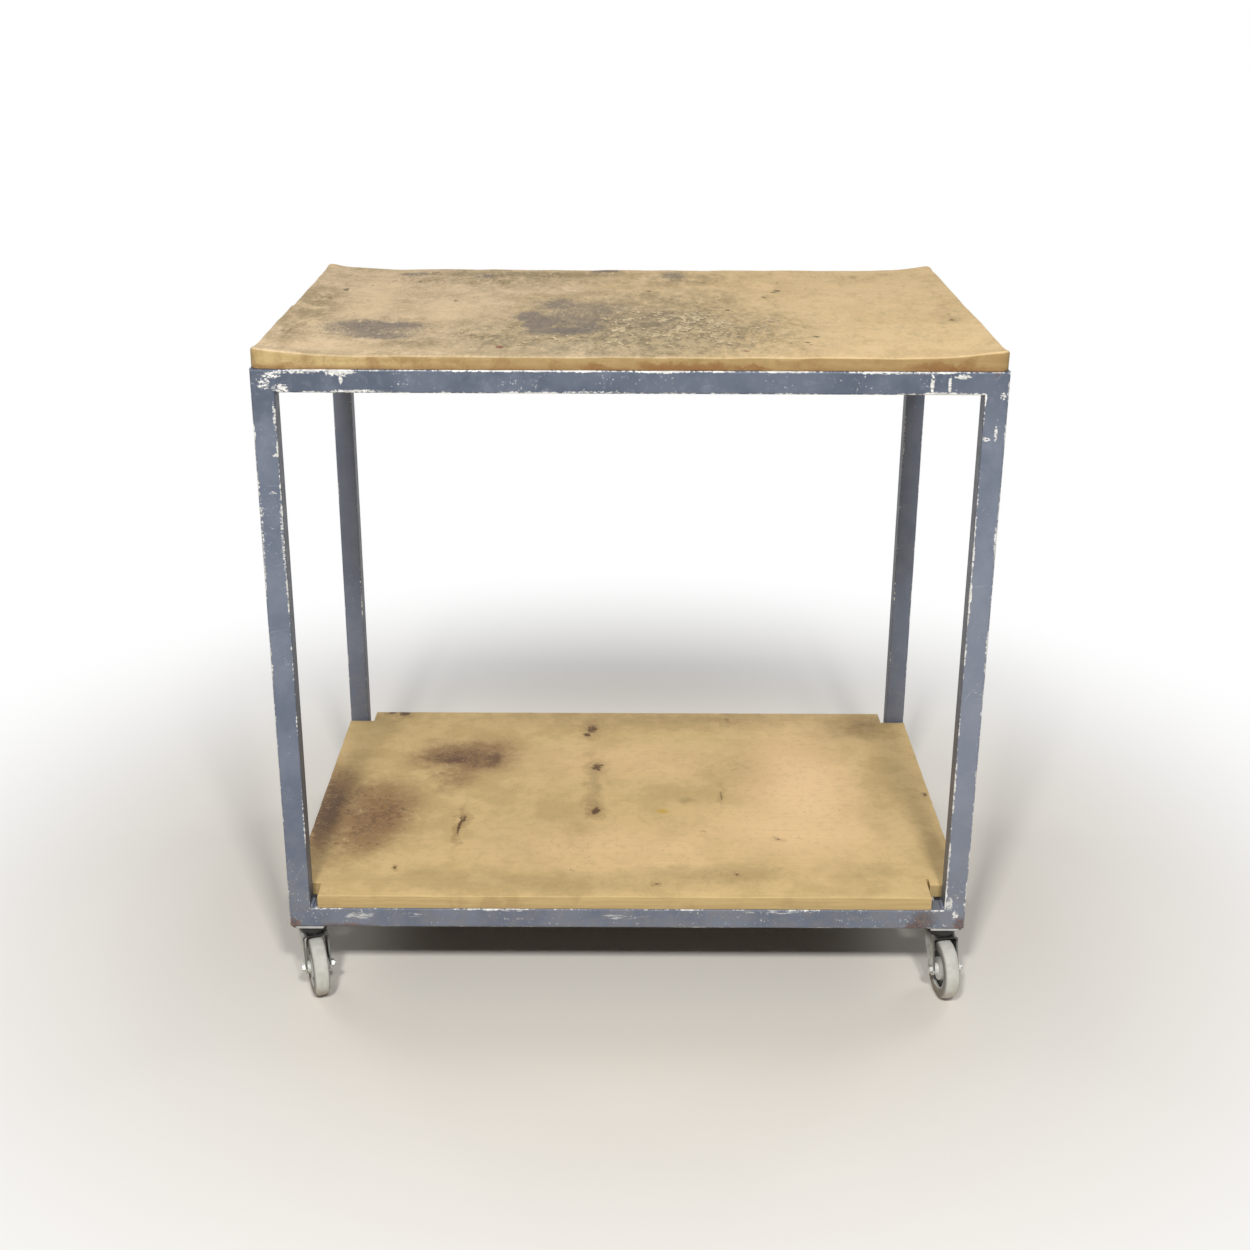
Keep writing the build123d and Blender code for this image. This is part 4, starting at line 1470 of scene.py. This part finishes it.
def frame_weld_beads():
    """Beads in the inner corners where legs and rails meet."""
    inner_x, inner_y, middle = half_width - tube_side, half_depth - tube_side, tube_side / 2
    beads = []
    for sx in (-1, 1):
        for sy in (-1, 1):
            for level, up in ((frame_bottom, 1), (frame_top, -1)):
                inner_z = level + up * tube_side
                seams = (
                    ((sx * inner_x, sy * (inner_y + middle), inner_z), (-sx, 0, 0), (0, 0, up)),
                    ((sx * inner_x, sy * inner_y, level + up * middle), (-sx, 0, 0), (0, -sy, 0)),
                    ((sx * (inner_x + middle), sy * inner_y, inner_z), (0, -sy, 0), (0, 0, up)),
                )
                beads += [weld_bead(*seam, frame_bead_length, frame_bead_leg) for seam in seams]
    make_piece("frame_weld_beads", *joined(beads), "frame", "frame_welds", "frame_paint", weld_paint)


def plate_weld_beads():
    """Burnt beads along both sides of each caster plate; the outer one is a fat lump out to the leg's
    face."""
    beads = []
    for corner in corners:
        x, y = joints[f"swivel_{corner}"]["pos_m"][:2]
        seam_y = math.copysign(half_depth - tube_side / 2, y)
        for side in (-1, 1):
            place = (x + side * plate_half_x, seam_y, frame_bottom)
            leg = outer_bead_leg if side * x > 0 else inner_bead_leg
            beads.append(weld_bead(place, (side, 0, 0), (0, 0, -1), plate_bead_length, leg))
    make_piece("plate_weld_beads", *joined(beads), "frame", "plate_welds", "frame_paint", burnt_weld)


def fork_flank(side):
    """Foot and head (y, z) of a cheek's straight flank: from where it touches the eye's circle to the foot of
    the upright shoulder. Side is -1 at the front and 1 at the rear."""
    eye = np.array([-trail, wheel_radius])
    head = np.array([side * fork_crown_half, fork_crown_top - fork_shoulder])
    gap = eye - head
    reach = math.hypot(*gap)
    lean = math.atan2(gap[1], gap[0]) + side * math.asin(fork_eye_radius / reach)
    foot = head + math.sqrt(reach ** 2 - fork_eye_radius ** 2) * np.array([math.cos(lean), math.sin(lean)])
    return foot, head


def fork_sheet_surface():
    """Middle surface of the pressed fork: a U-shaped path across it (up one cheek, round a bend, over the
    crown and down) times the way from the front flank to the rear one. At both ends the rows swing from
    straight lines to the round of the eye, and the crown rises round the swivel to the ball track."""
    half = (fork_gap + fork_sheet) / 2
    crown = fork_crown_top - fork_sheet / 2
    bend = fork_bend - fork_sheet / 2
    turn = np.linspace(0, math.pi / 2, fork_bend_rows)
    cheek_z = np.linspace(wheel_radius + fork_eye_start, crown - bend, fork_cheek_rows)
    across = np.linspace(-1, 1, fork_columns)
    over = np.linspace(-half + bend, half - bend, fork_crown_rows)[1:-1]
    cheek_x = np.full(fork_cheek_rows - 1, half)
    path_x = np.concatenate([-cheek_x, -half + bend - bend * np.cos(turn), over,
                             half - bend + bend * np.sin(turn), cheek_x])
    path_z = np.concatenate([cheek_z[:-1], crown - bend + bend * np.sin(turn), np.full(len(over), crown),
                             crown - bend + bend * np.cos(turn), cheek_z[-2::-1]])
    flanks = [fork_flank(side) for side in (-1, 1)]
    front_y, rear_y = (
        np.interp(path_z, [foot[1], head[1]], [foot[0], head[0]]) for foot, head in flanks
    )
    x = path_x[:, None] + 0 * across
    y = (front_y + rear_y)[:, None] / 2 + (rear_y - front_y)[:, None] / 2 * across
    past_track = fork_track_radius - np.hypot(x, y)
    rise = fork_track_rise * smooth_step(past_track, -fork_track_foot, fork_track_head)
    z = path_z[:, None] + np.where(np.abs(x) < half - bend, rise, 0)
    body = np.stack([x, y, z], axis=-1)

    angles = [math.atan2(foot[0] + trail, wheel_radius - foot[1]) for foot, head in flanks]
    around = np.linspace(*angles, len(across))
    eye_y = -trail + fork_eye_radius * np.sin(around)
    eye_z = wheel_radius - fork_eye_radius * np.cos(around)
    share = np.linspace(0, 1, fork_eye_rows)[1:, None]
    ends = []
    for start in (body[0], body[-1]):
        y_end = start[:, 1] + (eye_y - start[:, 1]) * share
        z_end = start[:, 2] + (eye_z - start[:, 2]) * share
        ends.append(np.stack([start[:, 0] + 0 * y_end, y_end, z_end], axis=-1))
    return np.concatenate([ends[0][::-1], body, ends[1]])


def fork_piece(corner, place):
    """The fork's middle surface, thickened on both sides, darker on its inner side with grime and painted
    shade, and softened along its cut edges.
    """
    surface = fork_sheet_surface()
    rows, columns = surface.shape[:2]
    mesh = bpy.data.meshes.new(f"pressed_fork_{corner}")
    mesh.from_pydata(placed(surface, place).tolist(), [], grid_faces(rows, columns)[:, ::-1].tolist())
    mesh.shade_smooth()
    # Mask of oily grime and painted shade: under the crown between the cheeks, and along the cut edges
    under = smooth_step(surface[..., 2], fork_crown_top - grime_shade_depth, fork_crown_top - grime_shade_full)
    middle = smooth_step(np.abs(surface[..., 0]), fork_gap / 2, fork_gap / 2 - grime_shade_margin)
    grease_and_painted_shade = under * middle
    grease_and_painted_shade[:, [0, -1]] = np.maximum(grease_and_painted_shade[:, [0, -1]], grime_shade_on_edge)
    layer = mesh.attributes.new("grease_and_painted_shade", "FLOAT", "POINT")
    layer.data.foreach_set("value", grease_and_painted_shade.astype(np.float32).ravel())
    mesh.materials.append(caster_zinc)
    # The inner side of the sheet takes the dark zinc: grime and painted shade
    mesh.materials.append(zinc_grime_and_shade)
    piece = bpy.data.objects.new(f"pressed_fork_{corner}", mesh)
    bpy.context.scene.collection.objects.link(piece)
    thick = piece.modifiers.new("sheet", "SOLIDIFY")
    thick.thickness = fork_sheet
    thick.offset = 0
    thick.use_even_offset = True
    thick.material_offset = 1
    soft = piece.modifiers.new("edge", "BEVEL")
    soft.width = fork_edge_round
    soft.segments = 2
    soft.limit_method = "ANGLE"
    soft.angle_limit = math.radians(fork_edge_angle)
    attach(piece, f"caster_{corner}")
    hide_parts(f"fork_{corner}")


def hex_radius(angle):
    """Distance from the centre to the side of a hexagon in a direction: half the flats over the cosine of
    the angle from the nearest flat's middle."""
    return hex_half / np.cos((angle + math.pi / 6) % (math.pi / 3) - math.pi / 6)


def hex_surface(height, hole):
    """Hexagon head or nut standing on Z = 0: each direction runs from the foot up the flat, over a 30 degree
    chamfer that cuts the corners round, to the top face and in to the hole; with no hole a face closes
    each end."""
    angle = np.linspace(0, 2 * math.pi, hex_segments, endpoint=False)[:, None]
    side = hex_radius(angle)
    chamfer_start = hex_half * hex_chamfer
    shoulder = height - (side - chamfer_start) * math.tan(math.pi / 6)
    ones = np.ones_like(angle)
    inner = max(hole, hex_least_hole)
    radius = np.concatenate([inner * ones, side, side, chamfer_start * ones, inner * ones], axis=1)
    level = np.concatenate([0 * ones, 0 * ones, shoulder, height * ones, height * ones], axis=1)
    points = np.stack([radius * np.cos(angle), radius * np.sin(angle), level], axis=-1)
    rows, columns = radius.shape
    faces = grid_faces(rows, columns, True, hole > 0).tolist()
    if not hole:
        index = np.arange(rows * columns).reshape(rows, columns)
        faces += [index[:, 0].tolist(), index[::-1, -1].tolist()]
    return points.reshape(-1, 3), faces


def thread_surface(start, thread_from, stop, radius, pitch):
    """Rod along Z, plain up to the thread: from there its radius is less by a triangle wave with one tooth
    a turn."""
    angle = np.linspace(0, 2 * math.pi, thread_segments, endpoint=False)[None, :]
    rows = max(thread_steps, int((stop - thread_from) / pitch * thread_steps))
    height = np.append(start, np.linspace(thread_from, stop, rows))[:, None]
    wave = np.abs(((height / pitch - angle / (2 * math.pi)) % 1) * 2 - 1)
    rim = radius - thread_depth * np.where(height > thread_from, wave, 0)
    points = np.stack([rim * np.cos(angle), rim * np.sin(angle), height + 0 * angle], axis=-1)
    return points.reshape(-1, 3), closed_tube_faces(*points.shape[:2])


tyre_profile = rounded_profile([
    (rim_radius, -tyre_half + tyre_lip), (rim_radius + tyre_lip, -tyre_half),
    (wheel_radius - tyre_shoulder, -tyre_half), (wheel_radius, -tyre_half + tyre_tread_inset),
    (wheel_radius, tyre_half - tyre_tread_inset), (wheel_radius - tyre_shoulder, tyre_half),
    (rim_radius + tyre_lip, tyre_half), (rim_radius, tyre_half - tyre_lip),
], tyre_round, tyre_round_steps)
hub_half = [
    (hub_bore, hub_boss_half), (hub_boss_radius, hub_boss_half),
    (hub_boss_radius, hub_face_half), (hub_face_radius, hub_face_half),
    (hub_web_inner, hub_web_half), (hub_web_outer, hub_web_half),
    (hub_rim_inner, hub_rim_half), (rim_radius, hub_rim_half),
]
hub_profile = rounded_profile(hub_half + [(radius, -x) for radius, x in reversed(hub_half)], hub_round)
race_profile = rounded_profile([
    (king_radius, frame_bottom - plate_thick), (race_radius, frame_bottom - plate_thick),
    (race_radius, race_foot), (race_inner, race_foot), (race_inner, race_roof), (king_radius, race_roof),
], race_round)


def caster_pieces(corner):
    """Plate, race, fork, axle bolt, nut, hub and tyre of one caster."""
    swivel = Vector(joints[f"swivel_{corner}"]["pos_m"])
    wheel_at = Vector(joints[f"roll_{corner}"]["pos_m"])
    axle = Vector(joints[f"roll_{corner}"]["axis"]).normalized()
    at_swivel = Matrix.Translation(swivel)
    sideways = Vector((0, 0, 1)).cross(axle)
    turn = Matrix((axle, sideways, (0, 0, 1))).transposed().to_4x4()
    on_fork = at_swivel @ turn
    up_axle = Matrix.Translation(wheel_at) @ turn @ Matrix.Rotation(math.pi / 2, 4, "Y")

    def add(name, surface, place, body, replaced, slot, material, masks=None):
        """One of this caster's pieces, with the corner's name after each of its own."""
        points, faces = surface
        body = body if body == "frame" else f"{body}_{corner}"
        make_piece(f"{name}_{corner}", placed(points, place), faces, body, f"{replaced}_{corner}", slot,
                   material, masks)

    plate = slab_surface(
        plate_half_x, plate_half_y, plate_thick, plate_corner, plate_arris, plate_arris, plate_cell
    )
    under_frame = Matrix.Translation(Vector((swivel.x, swivel.y, frame_bottom)))
    add("swivel_plate", plate[:2], under_frame, "frame", "caster_plate", "caster_zinc", caster_zinc)
    skirt = turned_surface(race_profile, race_segments)
    # The race under the plate is near black all over: oily grime and painted shade
    race_grease_and_shade = {"grease_and_painted_shade": np.ones(len(skirt[0]))}
    add("swivel_skirt", skirt, at_swivel, "frame", "swivel_race", "caster_zinc", caster_zinc, race_grease_and_shade)
    fork_piece(corner, on_fork)

    cheek = fork_gap / 2 + fork_sheet
    points, faces = hex_surface(bolt_head, 0)
    head = (placed(points, Matrix.Rotation(math.pi, 4, "X") @ Matrix.Translation((0, 0, cheek))), faces)
    thread_end = cheek + nut_thick + thread_stub
    rod = thread_surface(-cheek, cheek + nut_thick - thread_start, thread_end, axle_radius, thread_pitch)
    bolt = joined([head, rod])
    add("hex_bolt", bolt, up_axle, "caster", "axle_bolt", "bright_steel", bright_steel)
    on_cheek = up_axle @ Matrix.Translation((0, 0, cheek))
    nut = hex_surface(nut_thick, axle_radius)
    add("hex_nut", nut, on_cheek, "caster", "axle_nut", "bright_steel", bright_steel)

    hub = turned_surface(hub_profile, hub_segments)
    radius = np.hypot(hub[0][:, 0], hub[0][:, 1])
    # Painted shade in the recess round the hub face
    painted_groove_shade = {"painted_groove_shade": (radius > hub_groove_inner) & (radius < hub_groove_outer)}
    add("moulded_hub", hub, up_axle, "wheel", "wheel_hub", "hub_plastic", hub_plastic, painted_groove_shade)
    tyre = turned_surface(tyre_profile, tyre_segments)
    wall = smooth_step(np.abs(tyre[0][:, 2]), tyre_half - wall_start, tyre_half - wall_full)
    add("rubber_tyre", tyre, up_axle, "wheel", "tyre", "tyre_rubber", tyre_rubber, {"sidewall": wall})


worktop_slab()
shelf_panel()
frame_weld_beads()
plate_weld_beads()
for corner in corners:
    caster_pieces(corner)


def pale_floor():
    """Wide plain floor that keeps the shadow near the trolley and turns plain white further off."""
    points = [(x * floor_half, y * floor_half, 0) for x, y in ((-1, -1), (1, -1), (1, 1), (-1, 1))]
    mesh = bpy.data.meshes.new("floor")
    mesh.from_pydata(points, [], [(0, 1, 2, 3)])
    material, net, shader = finish_material("floor", floor_roughness)
    shader.inputs["Base Color"].default_value = paint_colour(*floor_tone)
    place = net.object_place()
    far = net.step(net.vector("LENGTH", place), floor_near, floor_far)
    seen = net.seen()
    white = net.add("Emission", None, Color=plain_white, Strength=1.0)
    blend = net.add("MixShader")
    net.feed(blend.inputs[0], net.math("MULTIPLY", far, seen))
    net.feed(blend.inputs[1], shader.outputs["BSDF"])
    net.feed(blend.inputs[2], white.outputs["Emission"])
    output = material.node_tree.nodes["Material Output"]
    net.feed(output.inputs["Surface"], blend.outputs[0])
    mesh.materials.append(material)
    floor = bpy.data.objects.new("floor", mesh)
    bpy.context.scene.collection.objects.link(floor)


def soft_lamp(name, place, size, power):
    """Square area lamp aimed at the middle of the trolley."""
    lamp = bpy.data.lights.new(name, "AREA")
    lamp.size = size
    lamp.energy = power
    holder = bpy.data.objects.new(name, lamp)
    holder.location = place
    holder.rotation_euler = (Vector(lamp_target) - Vector(place)).to_track_quat("-Z", "Y").to_euler()
    bpy.context.scene.collection.objects.link(holder)


def studio_light():
    """White surround for the camera, a dimmer one for lighting, two lamps in front and two softer ones
    behind."""
    world = bpy.data.worlds.new("studio")
    bpy.context.scene.world = world
    world.use_nodes = True
    net = Net(world.node_tree)
    seen = net.seen()
    background = world.node_tree.nodes["Background"]
    background.inputs["Color"].default_value = plain_white
    net.feed(background.inputs["Strength"], net.blend(seen, surround_light, 1.0))
    for name, (place, size, power) in lamps.items():
        soft_lamp(name, place, size, power)


def main_camera():
    """Camera turned by yaw about the upright, then by pitch, then by roll about its own line of sight."""
    lens = bpy.data.cameras.new("main")
    lens.lens = camera_lens
    lens.sensor_width = camera_sensor
    lens.shift_y = camera_shift
    holder = bpy.data.objects.new("main", lens)
    turn = Matrix.Rotation(-camera_yaw, 4, "Z") @ Matrix.Rotation(math.pi / 2 - camera_pitch_down, 4, "X")
    holder.matrix_world = Matrix.Translation(camera_place) @ turn @ Matrix.Rotation(camera_roll, 4, "Z")
    bpy.context.scene.collection.objects.link(holder)
    bpy.context.scene.camera = holder


pale_floor()
studio_light()
main_camera()
bpy.context.scene.view_settings.view_transform = "Standard"
